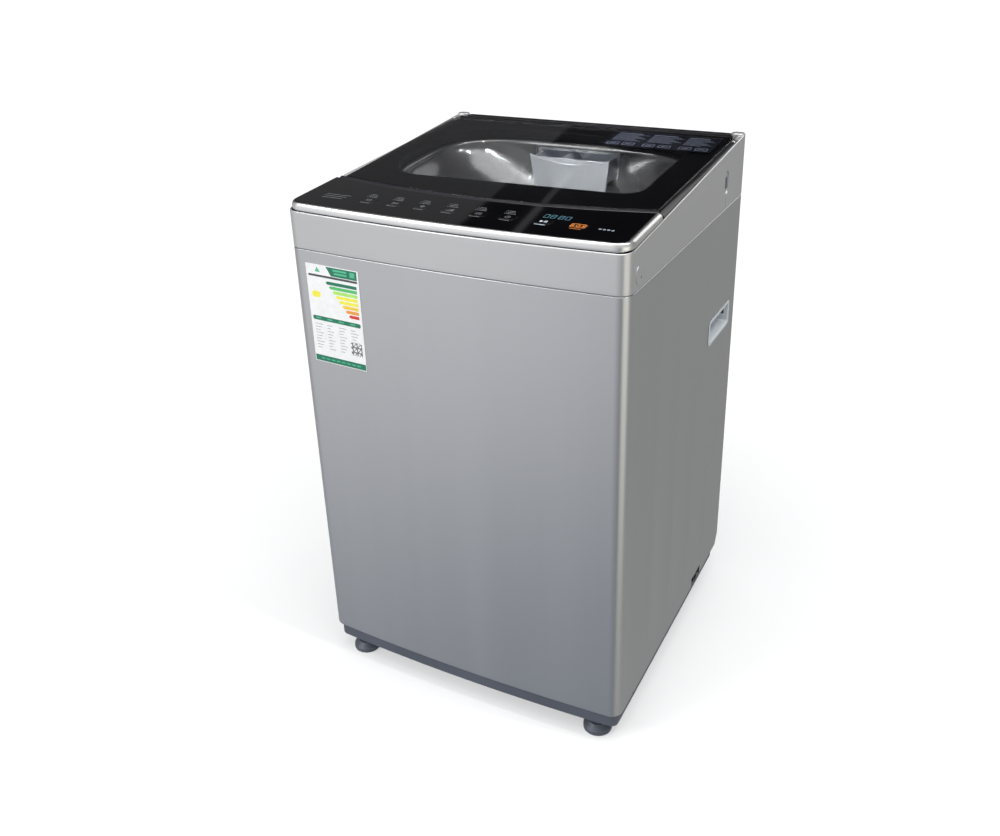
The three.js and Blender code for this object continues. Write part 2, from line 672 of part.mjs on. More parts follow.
// ---------------------------------------------------------------- tub, basket and pulsator
function outerTub() {
  const wall = 2.6;
  const vessel = turned([
    [16, TUB_BOTTOM - 10], [52, TUB_BOTTOM - 10], [58, TUB_BOTTOM], [TUB_R - 14, TUB_BOTTOM],
    [TUB_R, TUB_BOTTOM + 14], [TUB_R, TUB_TOP], [TUB_R - wall, TUB_TOP],
    [TUB_R - wall, TUB_BOTTOM + 15], [TUB_R - 15, TUB_BOTTOM + 4], [16, TUB_BOTTOM + 4],
  ], 36);
  const arms = [-1, 1].flatMap((sx) => [-1, 1].map((sy) => {
    const angle = Math.atan2(sy * ROD_Y, sx * ROD_X);
    const arm = solid(
      new THREE.BoxGeometry(100, 34, 10).translate(285, 0, 0).rotateZ(angle).translate(0, 0, BRACKET_Z + 5),
    );
    const bore = post(sx * ROD_X, sy * ROD_Y, BRACKET_Z - 1, BRACKET_Z + 11, ROD_R + 3, ROD_R + 3, 14);
    return arm.subtract(bore);
  }));
  const inside = post(0, 0, TUB_BOTTOM + 16, TUB_TOP, TUB_R - wall, TUB_R - wall, 36);
  const drainHole = post(DRAIN_X, DRAIN_Y, TUB_BOTTOM - 5, TUB_BOTTOM + 10, 17, 17, 16);
  return cut(join(vessel, ...arms.map((arm) => arm.subtract(inside))), drainHole);
}

const tubRing = () => turned([
  [TUB_R + GAP, TUB_TOP - 12], [TUB_R + 3, TUB_TOP - 12], [TUB_R + 3, TUB_TOP + 4], [204, TUB_TOP + 8],
  [199, TUB_TOP + 22], [196, TUB_TOP + 22], [196, TUB_TOP + 5], [TUB_R + GAP, TUB_TOP + 1],
], 36);

const washBasket = () => turned([
  [BASKET_R - 4, BASKET_BOTTOM], [BASKET_R, BASKET_BOTTOM + 4], [BASKET_R, BASKET_TOP],
  [BASKET_R - 1.4, BASKET_TOP], [BASKET_R - 1.4, BASKET_BOTTOM + 5], [BASKET_R - 5, BASKET_BOTTOM + 1.4],
  [BASKET_R - 26, BASKET_BOTTOM + 1.4], [BASKET_R - 26, BASKET_BOTTOM],
], 36);

const basketBase = () => turned([
  [15.5, 172], [40, 172], [44, 180], [BASKET_R - 4, 180], [BASKET_R - 4, BASKET_BOTTOM - GAP],
  [BASKET_R - 30, BASKET_BOTTOM - GAP], [BASKET_R - 32, 184], [15.5, 184],
]);

const balanceRing = () => turned([
  [BASKET_R + GAP, BASKET_TOP - 14], [BASKET_R + 4, BASKET_TOP - 14], [BASKET_R + 4, BASKET_TOP + 30],
  [BASKET_R, BASKET_TOP + 36], [192, BASKET_TOP + 36], [186, BASKET_TOP + 28], [186, BASKET_TOP - 8],
  [189, BASKET_TOP - 8], [189, BASKET_TOP + 26], [194, BASKET_TOP + 32], [BASKET_R - 4, BASKET_TOP + 32],
  [BASKET_R - 4, BASKET_TOP + GAP], [BASKET_R + GAP, BASKET_TOP + GAP],
], 36);

function pulsator() {
  const dish = turned([
    [SHAFT_R + GAP, 192], [PULSATOR_R - 8, 192], [PULSATOR_R, 197], [PULSATOR_R, 203], [PULSATOR_R - 10, 206],
    [110, 199], [52, 205], [38, 222], [SHAFT_R + GAP, 224],
  ]);
  const vanes = Array.from({ length: 6 }, (_, i) => {
    const vane = new THREE.CylinderGeometry(5, 11, 118, 6).rotateZ(Math.PI / 2).translate(98, 0, 0);
    return solid(vane.scale(1, 1, 1.5).rotateZ((i * Math.PI) / 3).translate(0, 0, 203));
  });
  const below = post(0, 0, 150, 192, 200, 200, 12);
  const bore = post(0, 0, 150, 260, SHAFT_R + GAP, SHAFT_R + GAP, 16);
  return cut(join(dish, ...vanes), below, bore);
}

const pulsatorCap = () => turned([[0, 224 + GAP], [30, 224 + GAP], [34, 229], [24, 236], [0, 239]], 24);
const washShaft = () => post(0, 0, PULLEY_Z + PULLEY_H + 1, 223, SHAFT_R, SHAFT_R, 16);
const spinShaft = () => turned([[9, 120], [14.5, 120], [14.5, 188], [9, 188]], 20);

// Lint filter cartridge on the basket wall; it pulls out toward the middle.
function lintFilter(s) {
  const frame = box(186, 208, -34, 34, 470, 620);
  const pocket = box(190, 212, -29, 29, 477, 600);
  const body = frame.subtract(pocket);
  const bars = [497, 519, 541, 563, 585].map((z) => box(187, 190.5, -30, 30, z, z + 3));
  const slots = [-18, 0, 18].map((y) => box(180, 191, y - 6, y + 6, 484, 594));
  const filter = join(cut(body, ...slots), ...bars);
  return s > 0 ? filter : filter.rotate([0, 0, 180]);
}

place('outer_tub', outerTub(), PALE_PLASTIC);
place('tub_ring', tubRing(), PALE_PLASTIC);
place('wash_basket', washBasket(), STAINLESS);
place('basket_base', basketBase(), PALE_PLASTIC);
place('balance_ring', balanceRing(), PALE_PLASTIC);
place('pulsator', pulsator(), PALE_PLASTIC);
place('pulsator_cap', pulsatorCap(), BRIGHT_TRIM);
place('wash_shaft', washShaft(), STAINLESS);
place('spin_shaft', spinShaft(), STAINLESS);
place('lint_filter_left', lintFilter(-1), PALE_PLASTIC);
place('lint_filter_right', lintFilter(1), PALE_PLASTIC);

// ---------------------------------------------------------------- drive
function driveMount() {
  const shape = new THREE.Shape();
  const lean = Math.atan2(MOTOR_Y, MOTOR_X);
  shape.absarc(0, 0, 78, lean + Math.PI / 2, lean + 1.5 * Math.PI);
  shape.absarc(MOTOR_X, MOTOR_Y, 60, lean - Math.PI / 2, lean + Math.PI / 2);
  return prism(shape, 145, 149).subtract(post(0, 0, 140, 152, 16, 16, 20));
}

const gearbox = () => turned([
  [10, 92], [44, 92], [48, 98], [48, 136], [36, 144.6], [15.2, 144.6], [15.2, 118], [10, 118],
], 28);

const grooved = (r, bore, sides) => turned([
  [bore, PULLEY_Z], [r, PULLEY_Z], [r - 5, PULLEY_Z + 4], [r - 5, PULLEY_Z + 10], [r, PULLEY_Z + PULLEY_H],
  [bore, PULLEY_Z + PULLEY_H],
], sides);

function motor() {
  return join(
    post(MOTOR_X, MOTOR_Y, 92, 144.6, MOTOR_R, MOTOR_R, 28),
    post(MOTOR_X, MOTOR_Y, 88, 93, 22, 30, 20),
  );
}

const motorPulley = () => grooved(MOTOR_PULLEY_R, 5, 20).translate([MOTOR_X, MOTOR_Y, 0]);

function belt() {
  const distance = Math.hypot(MOTOR_X, MOTOR_Y);
  const lean = Math.atan2(MOTOR_Y, MOTOR_X);
  const wrap = Math.acos((PULLEY_R - MOTOR_PULLEY_R) / distance);
  const loop = (grow) => {
    const shape = new THREE.Shape();
    shape.absarc(0, 0, PULLEY_R - 5 + grow, lean + wrap, lean - wrap + 2 * Math.PI);
    shape.absarc(MOTOR_X, MOTOR_Y, MOTOR_PULLEY_R - 5 + grow, lean - wrap, lean + wrap);
    return shape;
  };
  return cut(
    prism(loop(4.2), PULLEY_Z + 4.6, PULLEY_Z + 9.4, 14),
    prism(loop(GAP + 0.4), PULLEY_Z, PULLEY_Z + 20, 14),
  );
}

const drainValve = () => join(
  post(DRAIN_X, DRAIN_Y, 118, TUB_BOTTOM - GAP, 22),
  bar(DRAIN_X, DRAIN_X + 48, DRAIN_Y, 132, 12),
  box(DRAIN_X - 36, DRAIN_X - 12, DRAIN_Y - 16, DRAIN_Y + 16, 122, 150),
);

const drainOutlet = () => join(
  bar(222, 268, OUTLET_Y, OUTLET_Z, 8),
  box(226, 232, OUTLET_Y - 19, OUTLET_Y + 19, 50, 79),
  bar(266, HALF - 1, OUTLET_Y, OUTLET_Z, 10),
).subtract(bar(221, HALF + 1, OUTLET_Y, OUTLET_Z, 5.5));

const capacitor = () => join(
  post(-195, 250, 105, 180, 15, 15, 18),
  box(-214, -176, 264.6, 267, 110, 175),
  box(-201, -189, 252, 266, 130, 150),
);

place('drive_mount', driveMount(), GALVANISED);
place('gearbox', gearbox(), ALUMINIUM);
place('drive_pulley', grooved(PULLEY_R, SHAFT_R + GAP, 40), ALUMINIUM);
place('motor', motor(), GALVANISED);
place('motor_pulley', motorPulley(), ALUMINIUM);
place('drive_belt', belt(), RUBBER);
place('drain_valve', drainValve(), DARK_PLASTIC);
place('drain_outlet', drainOutlet(), BLACK_PLASTIC);
place('capacitor', capacitor(), ALUMINIUM);

export default machine;
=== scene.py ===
"""The looks of a top load washing machine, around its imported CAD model.

Lengths in this script are millimetres in the model's frame: +X right, -Y front, +Z up, floor at 0.
"""
import json
import math

import bmesh
import bpy
from mathutils import Matrix, Vector

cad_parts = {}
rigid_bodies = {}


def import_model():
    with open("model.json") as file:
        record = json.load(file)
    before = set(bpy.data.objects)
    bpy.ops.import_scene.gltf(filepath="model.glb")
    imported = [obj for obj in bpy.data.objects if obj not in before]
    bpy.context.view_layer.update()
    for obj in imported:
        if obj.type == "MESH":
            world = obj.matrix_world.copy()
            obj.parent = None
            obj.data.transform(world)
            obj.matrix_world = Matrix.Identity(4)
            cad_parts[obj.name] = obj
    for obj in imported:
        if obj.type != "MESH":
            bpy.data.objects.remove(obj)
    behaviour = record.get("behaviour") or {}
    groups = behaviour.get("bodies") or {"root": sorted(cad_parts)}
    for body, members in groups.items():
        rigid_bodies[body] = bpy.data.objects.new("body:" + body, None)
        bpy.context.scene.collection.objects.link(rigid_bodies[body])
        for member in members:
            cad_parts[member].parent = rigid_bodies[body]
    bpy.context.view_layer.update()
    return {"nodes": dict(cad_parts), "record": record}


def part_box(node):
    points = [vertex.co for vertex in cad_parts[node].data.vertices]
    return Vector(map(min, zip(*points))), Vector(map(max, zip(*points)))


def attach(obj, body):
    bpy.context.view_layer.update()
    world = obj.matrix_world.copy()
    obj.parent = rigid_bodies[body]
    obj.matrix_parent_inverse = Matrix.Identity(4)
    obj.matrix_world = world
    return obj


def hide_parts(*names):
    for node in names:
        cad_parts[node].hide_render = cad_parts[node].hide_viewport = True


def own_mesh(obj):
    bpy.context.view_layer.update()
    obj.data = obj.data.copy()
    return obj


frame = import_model()
nodes = frame["nodes"]
scene = bpy.context.scene
MM = 0.001


def box_of(node):
    """Lowest and highest corners of a CAD node, in millimetres."""
    low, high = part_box(node)
    return low / MM, high / MM


def middle_of(node):
    """The middle of a CAD node in plan, its lowest and highest points, and its radius."""
    low, high = box_of(node)
    return (low.x + high.x) / 2, (low.y + high.y) / 2, low.z, high.z, (high.x - low.x) / 2


def body_of(node):
    """The body that a CAD node moves with."""
    return nodes[node].parent.name.removeprefix("body:")


# ---------------------------------------------------------------- sizes, from the frame
GAP = 0.3
shell_low, shell_high = box_of("cabinet_shell")
HALF = shell_high.x
BACK = shell_high.y
BOW = 8.0
FRONT = shell_low.y + BOW
CORNER = 20.0
REAR_CORNER = 8.0
PANEL_BOTTOM = shell_low.z
SEAM = shell_high.z + GAP

TOP_FRONT = 843.0
TOP_SLOPE = 0.0612
SIDE_FRONT = 830.0
SIDE_SLOPE = 0.0837
EAR_TOP = box_of("top_cover")[1].z
EAR_X = 252.0
EAR_Y = 253.5
CHEEK_X = 265.3
CHEEK_Y = 234.0
RAIL_TOP = 866.0
COVER_WALL = 2.6
DECK_DROP = 24.0

MOUTH_X = 228.0
MOUTH_FRONT = -128.0
MOUTH_BACK = 196.0
FUNNEL_R = 190.0
FUNNEL_BOTTOM = 776.0

LID_X = 264.0
LID_FRAME_X = 260.0
LID_FRONT = 128.0
LID_BOW = 28.0
LID_SIDE_BACK = 508.0
LID_BACK = 516.0
LID_THICK = 17.0
SKIRT_BACK = 494.0
STRIP = 9.6
GLASS = 4.0
PANEL_GLASS = 3.0
RISE = (SIDE_SLOPE - TOP_SLOPE) / (1 + TOP_SLOPE ** 2)
PIN_LOW, PIN_HIGH = box_of("lid_hinge_pin_right")
HINGE = (0, (PIN_LOW.y + PIN_HIGH.y) / 2, (PIN_LOW.z + PIN_HIGH.z) / 2)
CORNERS = [(end, side) for end in ("front", "rear") for side in ("left", "right")]
KEY_X = dict(zip(
    ("wash", "rinse", "spin", "level", "program", "delay", "start", "power"),
    (-152, -106, -60, -14, 32, 78, 132, 184),
))
KEY_UP = 46.0
KEY_W = 26.0
KEY_D = 15.0
VALVE_X = {"cold": -163.0, "hot": -112.0}
VALVE_Z = 815.0
CORD_X = 190.0


def tilted_point(x, up, height=0.0):
    """A point on the sloping top: up is measured up the slope from the front edge."""
    tilt = math.atan(TOP_SLOPE)
    y = FRONT + up * math.cos(tilt) - height * math.sin(tilt)
    return x, y, TOP_FRONT + up * math.sin(tilt) + height * math.cos(tilt)


def top_at(y):
    return TOP_FRONT + TOP_SLOPE * (y - FRONT)


def side_at(y):
    return SIDE_FRONT + SIDE_SLOPE * (y - FRONT)


# ---------------------------------------------------------------- camera
def add_camera():
    yaw, pitch, roll = (math.radians(a) for a in (28.37, 24.47, -1.87))
    forward = Vector((-math.sin(yaw) * math.cos(pitch), math.cos(yaw) * math.cos(pitch), -math.sin(pitch)))
    level = Vector((math.cos(yaw), math.sin(yaw), 0))
    upright = level.cross(forward)
    right = math.cos(roll) * level + math.sin(roll) * upright
    up = math.cos(roll) * upright - math.sin(roll) * level
    camera = bpy.data.objects.new("camera", bpy.data.cameras.new("camera"))
    camera.matrix_world = Matrix.Translation(Vector((695.5, -1402.1, 1246.4)) * MM) @ Matrix(
        (right, up, -forward)).transposed().to_4x4()
    camera.data.sensor_width = 36.0
    camera.data.lens = 36.03
    camera.data.shift_y = -0.065
    scene.collection.objects.link(camera)
    scene.camera = camera


add_camera()


# ---------------------------------------------------------------- materials
def add_node(tree, kind, inputs=None, **properties):
    """A new shader node. Each input takes a plain value, or the output that feeds it."""
    node = tree.nodes.new("ShaderNode" + kind)
    for name, value in properties.items():
        setattr(node, name, value)
    for socket, value in (inputs or {}).items():
        if isinstance(value, bpy.types.NodeSocket):
            tree.links.new(value, node.inputs[socket])
        else:
            node.inputs[socket].default_value = value
    return node


def finish(name, color, roughness, metallic=0.0, drift=0.05, drift_scale=5.0,
           grain=0.0, grain_scale=900.0, stretch=(1, 1, 1), cells=0.0, **sockets):
    """A finish whose colour and roughness drift a little over the piece, with a fine surface grain.

    cells adds crystal-like patches of that contrast; stretch draws the pattern out along an axis.
    """
    material = bpy.data.materials.new(name)
    material.use_nodes = True
    tree = material.node_tree
    shader = tree.nodes["Principled BSDF"]
    place = add_node(tree, "TexCoord").outputs["Object"]
    place = add_node(tree, "Mapping", {"Vector": place, "Scale": stretch}).outputs["Vector"]
    cloud = add_node(tree, "TexNoise", {"Vector": place, "Scale": drift_scale, "Detail": 4.0})
    pattern = cloud.outputs["Fac"]
    if cells:
        patches = add_node(tree, "TexVoronoi", {"Vector": place, "Scale": 110.0}).outputs["Color"]
        pattern = add_node(tree, "Mix", {"Factor": cells, "A": pattern, "B": patches}).outputs["Result"]

    ramp = add_node(tree, "ValToRGB", {"Fac": pattern})
    ends = zip(ramp.color_ramp.elements, (0.3, 0.7), (1 - drift, 1 + drift))
    for element, position, share in ends:
        element.position = position
        element.color = (*(min(c * share, 1.0) for c in color), 1.0)
    spread = add_node(tree, "MapRange", {
        "Value": pattern, "To Min": roughness * 0.88, "To Max": min(roughness * 1.12, 1.0)})
    tree.links.new(ramp.outputs["Color"], shader.inputs["Base Color"])
    tree.links.new(spread.outputs["Result"], shader.inputs["Roughness"])
    if grain:
        texture = add_node(tree, "TexNoise", {"Vector": place, "Scale": grain_scale, "Detail": 3.0})
        bump = add_node(tree, "Bump", {
            "Strength": grain, "Distance": 0.0002, "Height": texture.outputs["Fac"]})
        tree.links.new(bump.outputs["Normal"], shader.inputs["Normal"])

    shader.inputs["Metallic"].default_value = metallic
    for socket, value in sockets.items():
        shader.inputs[socket.replace("_", " ")].default_value = value
    return material


FUNNEL_SILVER = finish("funnel_silver", (0.42, 0.425, 0.43), 0.16, 0.8, 0.02, 4.0)
# The drawer's silver plastic, made much lighter and bluer than the cover's: painted light for the bright
# glare its front catches behind the glass.
DRAWER_PAINTED_LIGHT_SILVER = finish("drawer_silver", (0.84, 0.88, 0.94), 0.30, 0.15, 0.02, 4.0)
FINISH = {
    "silver_paint": finish(
        "silver_paint", (0.47, 0.475, 0.485), 0.30, 0.8, 0.022, 14.0, 0.10, 2600.0, stretch=(1, 1, 0.04)),
    "silver_plastic": finish("silver_plastic", (0.52, 0.52, 0.525), 0.30, 0.6, 0.02, 4.0, 0.08, 2600.0),
    "bright_trim": finish(
        "bright_trim", (0.70, 0.70, 0.69), 0.30, 0.95, 0.05, 60.0, 0.15, 700.0, stretch=(0.15, 0.05, 4.0)),
    "black_gloss": finish("black_gloss", (0.002, 0.002, 0.0025), 0.04, 0.0, 0.15, 8.0),
    "black_plastic": finish(
        "black_plastic", (0.006, 0.006, 0.007), 0.30, 0.0, 0.12, 14.0, 0.12, 1500.0, Specular_IOR_Level=0.3),
    "dark_trim": finish("dark_trim", (0.020, 0.020, 0.024), 0.36, 0.0, 0.10, 30.0, 0.10, 1500.0),
    "tinted_glass": finish(
        "tinted_glass", (0.003, 0.003, 0.004), 0.02, 0.0, 0.10, 6.0, Alpha=0.34, IOR=1.8),
    "dark_plastic": finish("dark_plastic", (0.085, 0.097, 0.125), 0.45, 0.0, 0.10, 12.0, 0.30, 1400.0),
    "pale_plastic": finish("pale_plastic", (0.60, 0.64, 0.66), 0.42, 0.0, 0.03, 9.0, 0.20, 1300.0),
    "rubber": finish("rubber", (0.012, 0.012, 0.012), 0.75, 0.0, 0.20, 40.0, 0.50, 1200.0),
    "galvanised": finish("galvanised", (0.52, 0.53, 0.54), 0.42, 0.85, 0.10, 10.0, 0.10, 900.0, cells=0.45),
    "stainless": finish(
        "stainless", (0.66, 0.66, 0.66), 0.20, 1.0, 0.05, 30.0, 0.10, 900.0, stretch=(1, 1, 0.05)),
    "aluminium": finish("aluminium", (0.58, 0.59, 0.60), 0.42, 0.9, 0.08, 25.0, 0.35, 700.0),
    "circuit_board": finish("circuit_board", (0.02, 0.12, 0.05), 0.45, 0.0, 0.20, 200.0, 0.20, 500.0),
    "motor_paint": finish("motor_paint", (0.045, 0.050, 0.055), 0.38, 0.0, 0.10, 20.0, 0.25, 1100.0),
}
INK = {
    name: finish(name, color, roughness, 0.0, 0.06, 120.0)
    for name, color, roughness in (
        ("print_grey", (0.17, 0.175, 0.19), 0.35),
        ("print_pale", (0.62, 0.72, 0.82), 0.35),
        ("print_orange", (0.62, 0.20, 0.04), 0.35),
        ("print_teal", (0.09, 0.22, 0.28), 0.35),
        ("part_black", (0.020, 0.020, 0.022), 0.45),
        ("label_dark", (0.005, 0.0055, 0.008), 0.22),
        ("label_line", (0.13, 0.15, 0.20), 0.30),
        ("border_black", (0.0015, 0.0015, 0.002), 0.40),
        ("paper_white", (0.97, 0.98, 0.97), 0.42),
        ("paper_green", (0.010, 0.190, 0.105), 0.40),
        ("paper_mint", (0.10, 0.52, 0.30), 0.40),
        ("paper_leaf", (0.10, 0.55, 0.16), 0.40),
        ("paper_lime", (0.46, 0.85, 0.16), 0.40),
        ("paper_yellow", (0.98, 0.90, 0.08), 0.40),
        ("paper_amber", (0.95, 0.66, 0.05), 0.40),
        ("paper_orange", (0.90, 0.36, 0.05), 0.40),
        ("paper_red", (0.75, 0.05, 0.03), 0.40),
        ("paper_grey", (0.45, 0.48, 0.48), 0.42),
        ("paper_ink", (0.06, 0.07, 0.07), 0.42),
    )
}


# ---------------------------------------------------------------- mesh helpers
def linked(name, data):
    """A new object in the scene."""
    obj = bpy.data.objects.new(name, data)
    scene.collection.objects.link(obj)
    return obj


def new_mesh(name, points, faces, join=True):
    """A mesh object from points in millimetres, with its faces turned outward."""
    mesh = bpy.data.meshes.new(name)
    mesh.from_pydata([Vector(p) * MM for p in points], [], faces)
    shape = bmesh.new()
    shape.from_mesh(mesh)
    if join:
        bmesh.ops.remove_doubles(shape, verts=shape.verts, dist=1e-7)
    bmesh.ops.recalc_face_normals(shape, faces=shape.faces)
    shape.to_mesh(mesh)
    shape.free()
    return linked(name, mesh)


def apply_modifiers(obj):
    bpy.context.view_layer.update()
    evaluated = obj.evaluated_get(bpy.context.evaluated_depsgraph_get())
    mesh = bpy.data.meshes.new_from_object(evaluated)
    obj.modifiers.clear()
    obj.data = mesh
    return obj


def bevel(obj, width, segments=2, angle=30):
    modifier = obj.modifiers.new("bevel", "BEVEL")
    modifier.width = width * MM
    modifier.segments = segments
    modifier.limit_method = "ANGLE"
    modifier.angle_limit = math.radians(angle)
    return apply_modifiers(obj)


def combine(obj, tools, operation):
    for tool in tools:
        modifier = obj.modifiers.new("combine", "BOOLEAN")
        modifier.operation = operation
        modifier.solver = "EXACT"
        modifier.object = tool
        apply_modifiers(obj)
        bpy.data.objects.remove(tool)
    return obj


def cut(obj, *tools):
    return combine(obj, tools, "DIFFERENCE")


def weld(obj, *tools):
    return combine(obj, tools, "UNION")


def merged(name, *parts):
    """One object from several closed shapes that only touch."""
    shape = bmesh.new()
    for part in parts:
        shape.from_mesh(part.data)
    mesh = bpy.data.meshes.new(name)
    shape.to_mesh(mesh)
    shape.free()
    for part in parts:
        bpy.data.objects.remove(part)
    return linked(name, mesh)


def settle(obj, body, slot, replaces=(), material=None, sharp=32):
    """Gives a finished piece its shading, finish and body."""
    mesh = obj.data
    mesh.materials.clear()
    mesh.materials.append(material or FINISH[slot])
    mesh.shade_smooth()
    mesh.set_sharp_from_angle(angle=math.radians(sharp))
    flat_faces = obj.modifiers.new("flat_faces", "WEIGHTED_NORMAL")
    flat_faces.weight = 100
    flat_faces.keep_sharp = True
    apply_modifiers(obj)
    if replaces:
        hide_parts(*replaces)
    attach(obj, body)
    return obj


def skin(name, rings, loop=False, caps=True):
    """A body over rings of equal length; it closes on itself, or is capped at both ends."""
    count = len(rings[0])
    points = [p for ring in rings for p in ring]
    faces = []
    for i in range(len(rings) if loop else len(rings) - 1):
        a, b = i * count, (i + 1) % len(rings) * count
        for j in range(count):
            k = (j + 1) % count
            faces.append((a + j, a + k, b + k, b + j))
    if caps and not loop:
        faces.append(tuple(range(count))[::-1])
        faces.append(tuple(range(len(points) - count, len(points))))
    return new_mesh(name, points, faces)


def sheet_grid(name, rows, around=False):
    """An open surface over rows of points."""
    count = len(rows[0])
    points = [p for row in rows for p in row]
    faces = []
    for i in range(len(rows) - 1):
        for j in range(count if around else count - 1):
            k = (j + 1) % count
            faces.append((i * count + j, i * count + k, (i + 1) * count + k, (i + 1) * count + j))
    return new_mesh(name, points, faces)


def thicken(obj, thickness, faces_out):
    """Gives an open sheet its thickness, on the side away from the outside."""
    modifier = obj.modifiers.new("thickness", "SOLIDIFY")
    modifier.thickness = thickness * MM
    modifier.offset = -1 if faces_out else 1
    modifier.use_even_offset = True
    return apply_modifiers(obj)


def prism(name, outline, low, high, axis="Z"):
    """A prism along Z over an [x, y] outline, or along X over a [y, z] one."""
    if axis == "X":
        return skin(name, [[(x, y, z) for y, z in outline] for x in (low, high)])
    return skin(name, [[(x, y, z) for x, y in outline] for z in (low, high)])


def block(name, x0, x1, y0, y1, z0, z1):
    return prism(name, [(x0, y0), (x1, y0), (x1, y1), (x0, y1)], z0, z1)


def turned(name, profile, steps=96, at=(0, 0, 0), axis="Z"):
    """A body turned from a closed [radius, height] profile about an axis through a point."""
    rings = []
    for i in range(steps):
        a = 2 * math.pi * i / steps
        ring = []
        for r, h in profile:
            c, s = r * math.cos(a), r * math.sin(a)
            x, y, z = {"Z": (c, s, h), "Y": (s, h, c), "X": (h, c, s)}[axis]
            ring.append((x + at[0], y + at[1], z + at[2]))
        rings.append(ring)
    return skin(name, rings, loop=True)


def bore(r, low, high, steps, at=(0, 0, 0), axis="Z"):
    """A cylinder for cutting a round hole."""
    return turned("hole", [(0, low), (r, low), (r, high), (0, high)], steps, at, axis)


def quarter(steps, first=0):
    """Sine and cosine at even steps through a quarter turn."""
    angles = [math.pi / 2 * i / steps for i in range(first, steps + 1)]
    return [(math.sin(a), math.cos(a)) for a in angles]


def plate(name, outline, low, high, place=lambda a, b, h: (a, b, h), edge=0.0, steps=3):
    """A plate from an outline that outline(inset) gives, with both rims rounded by edge."""
    rings = [(0.0, low), (0.0, high)]
    if edge:
        rings = [(edge * (1 - s), low + edge * (1 - c)) for s, c in quarter(steps)]
        rings += [(edge * (1 - c), high - edge * (1 - s)) for s, c in quarter(steps)]
    return skin(name, [[place(a, b, h) for a, b in outline(inset)] for inset, h in rings])


def on_side(sign):
    """Places a plate upright on the right side, or on the left for -1; its height runs along X."""
    return lambda y, z, x: (sign * x, y, z)


# ---------------------------------------------------------------- outlines
def arc(cx, cy, r, start, end, steps):
    """Points of an arc, in degrees, both ends included."""
    angles = [math.radians(start + (end - start) * i / steps) for i in range(steps + 1)]
    return [(cx + r * math.cos(a), cy + r * math.sin(a)) for a in angles]


def bow_line(x0, x1, y, height, steps):
    """A shallow curve from x0 to x1 that stands forward by height in its middle."""
    shares = [i / steps for i in range(steps + 1)]
    return [(x0 + (x1 - x0) * t, y - 4 * height * t * (1 - t)) for t in shares]


def straight(x0, y0, x1, y1, steps):
    """Points between two ends, neither included."""
    return [(x0 + (x1 - x0) * i / steps, y0 + (y1 - y0) * i / steps) for i in range(1, steps)]


def rounded_box(x0, x1, y0, y1, r, steps=5):
    """A rectangle with round corners, as an outline of its inset."""
    def outline(inset=0.0):
        a0, a1, b0, b1 = x0 + inset, x1 - inset, y0 + inset, y1 - inset
        q = max(r - inset, 0.05)
        return (arc(a1 - q, b0 + q, q, -90, 0, steps) + arc(a1 - q, b1 - q, q, 0, 90, steps)
                + arc(a0 + q, b1 - q, q, 90, 180, steps) + arc(a0 + q, b0 + q, q, 180, 270, steps))
    return outline


def front_at(x):
    """Depth of the bowed front at x."""
    t = (x + HALF - CORNER) / (2 * (HALF - CORNER))
    return FRONT - 4 * BOW * t * (1 - t)


def cabinet_wrap(inset=0.0, side_steps=96, flange=26.0):
    """The cabinet's outline from the left rear flange, round the front, to the right one."""
    x, front, back = HALF - inset, FRONT + inset, BACK - inset
    r, b = max(CORNER - inset, 2.0), max(REAR_CORNER - inset, 1.0)
    corner_in = HALF - CORNER
    right = arc(corner_in, FRONT + CORNER, r, -90, 0, 12)
    right += straight(x, FRONT + CORNER, x, back - b, side_steps)
    right += arc(x - b, back - b, b, 0, 90, 6) + [(HALF - flange, back)]
    middle = bow_line(-corner_in, corner_in, front, BOW, 48)[1:-1]
    left = [(-px, py) for px, py in reversed(right)]
    return left + middle + right


def cabinet_plan(inset=0.0):
    """The closed outline, with points along the back as well."""
    wrap = cabinet_wrap(inset, side_steps=40)
    (x1, back), (x0, _) = wrap[-1], wrap[0]
    return wrap + straight(x1, back, x0, back, 40)


MOUTH_Y = (MOUTH_FRONT + MOUTH_BACK) / 2


def mouth_point(angle, grow=0.0):
    """The loading mouth: square at the back, rounder at the front."""
    reach = (MOUTH_BACK - MOUTH_FRONT) / 2 + grow
    c, s = math.cos(angle), math.sin(angle)
    power = 2 / (2.4 if s < 0 else 3.6)
    x = (MOUTH_X + grow) * math.copysign(abs(c) ** power, c)
    return x, MOUTH_Y + reach * math.copysign(abs(s) ** power, s)


MOUTH_STEPS = 240
MOUTH_ANGLES = [2 * math.pi * i / MOUTH_STEPS for i in range(MOUTH_STEPS)]


def around_mouth(outline):
    """For each point of the mouth, where the ray through it from the middle meets an outline."""
    ends = []
    for angle in MOUTH_ANGLES:
        dx, dy = mouth_point(angle)
        dy -= MOUTH_Y
        best = None
        for (ax, ay), (bx, by) in zip(outline, outline[1:] + outline[:1]):
            ex, ey, py = bx - ax, by - ay, ay - MOUTH_Y
            den = dx * ey - dy * ex
            if abs(den) < 1e-9:
                continue
            t, u = (ax * ey - py * ex) / den, (ax * dy - py * dx) / den
            if t > 0 and -1e-9 <= u <= 1 + 1e-9 and (best is None or t > best):
                best = t
        ends.append((dx * best, MOUTH_Y + dy * best))
    for corner in outline:
        near = min(range(len(ends)), key=lambda i: math.dist(ends[i], corner))
        if math.dist(ends[near], corner) < 4:
            ends[near] = corner
    return ends


def towards(a, b, distance):
    """The point that lies distance from a on the way to b."""
    length = math.dist(a, b)
    return tuple(p + (q - p) * distance / length for p, q in zip(a, b))


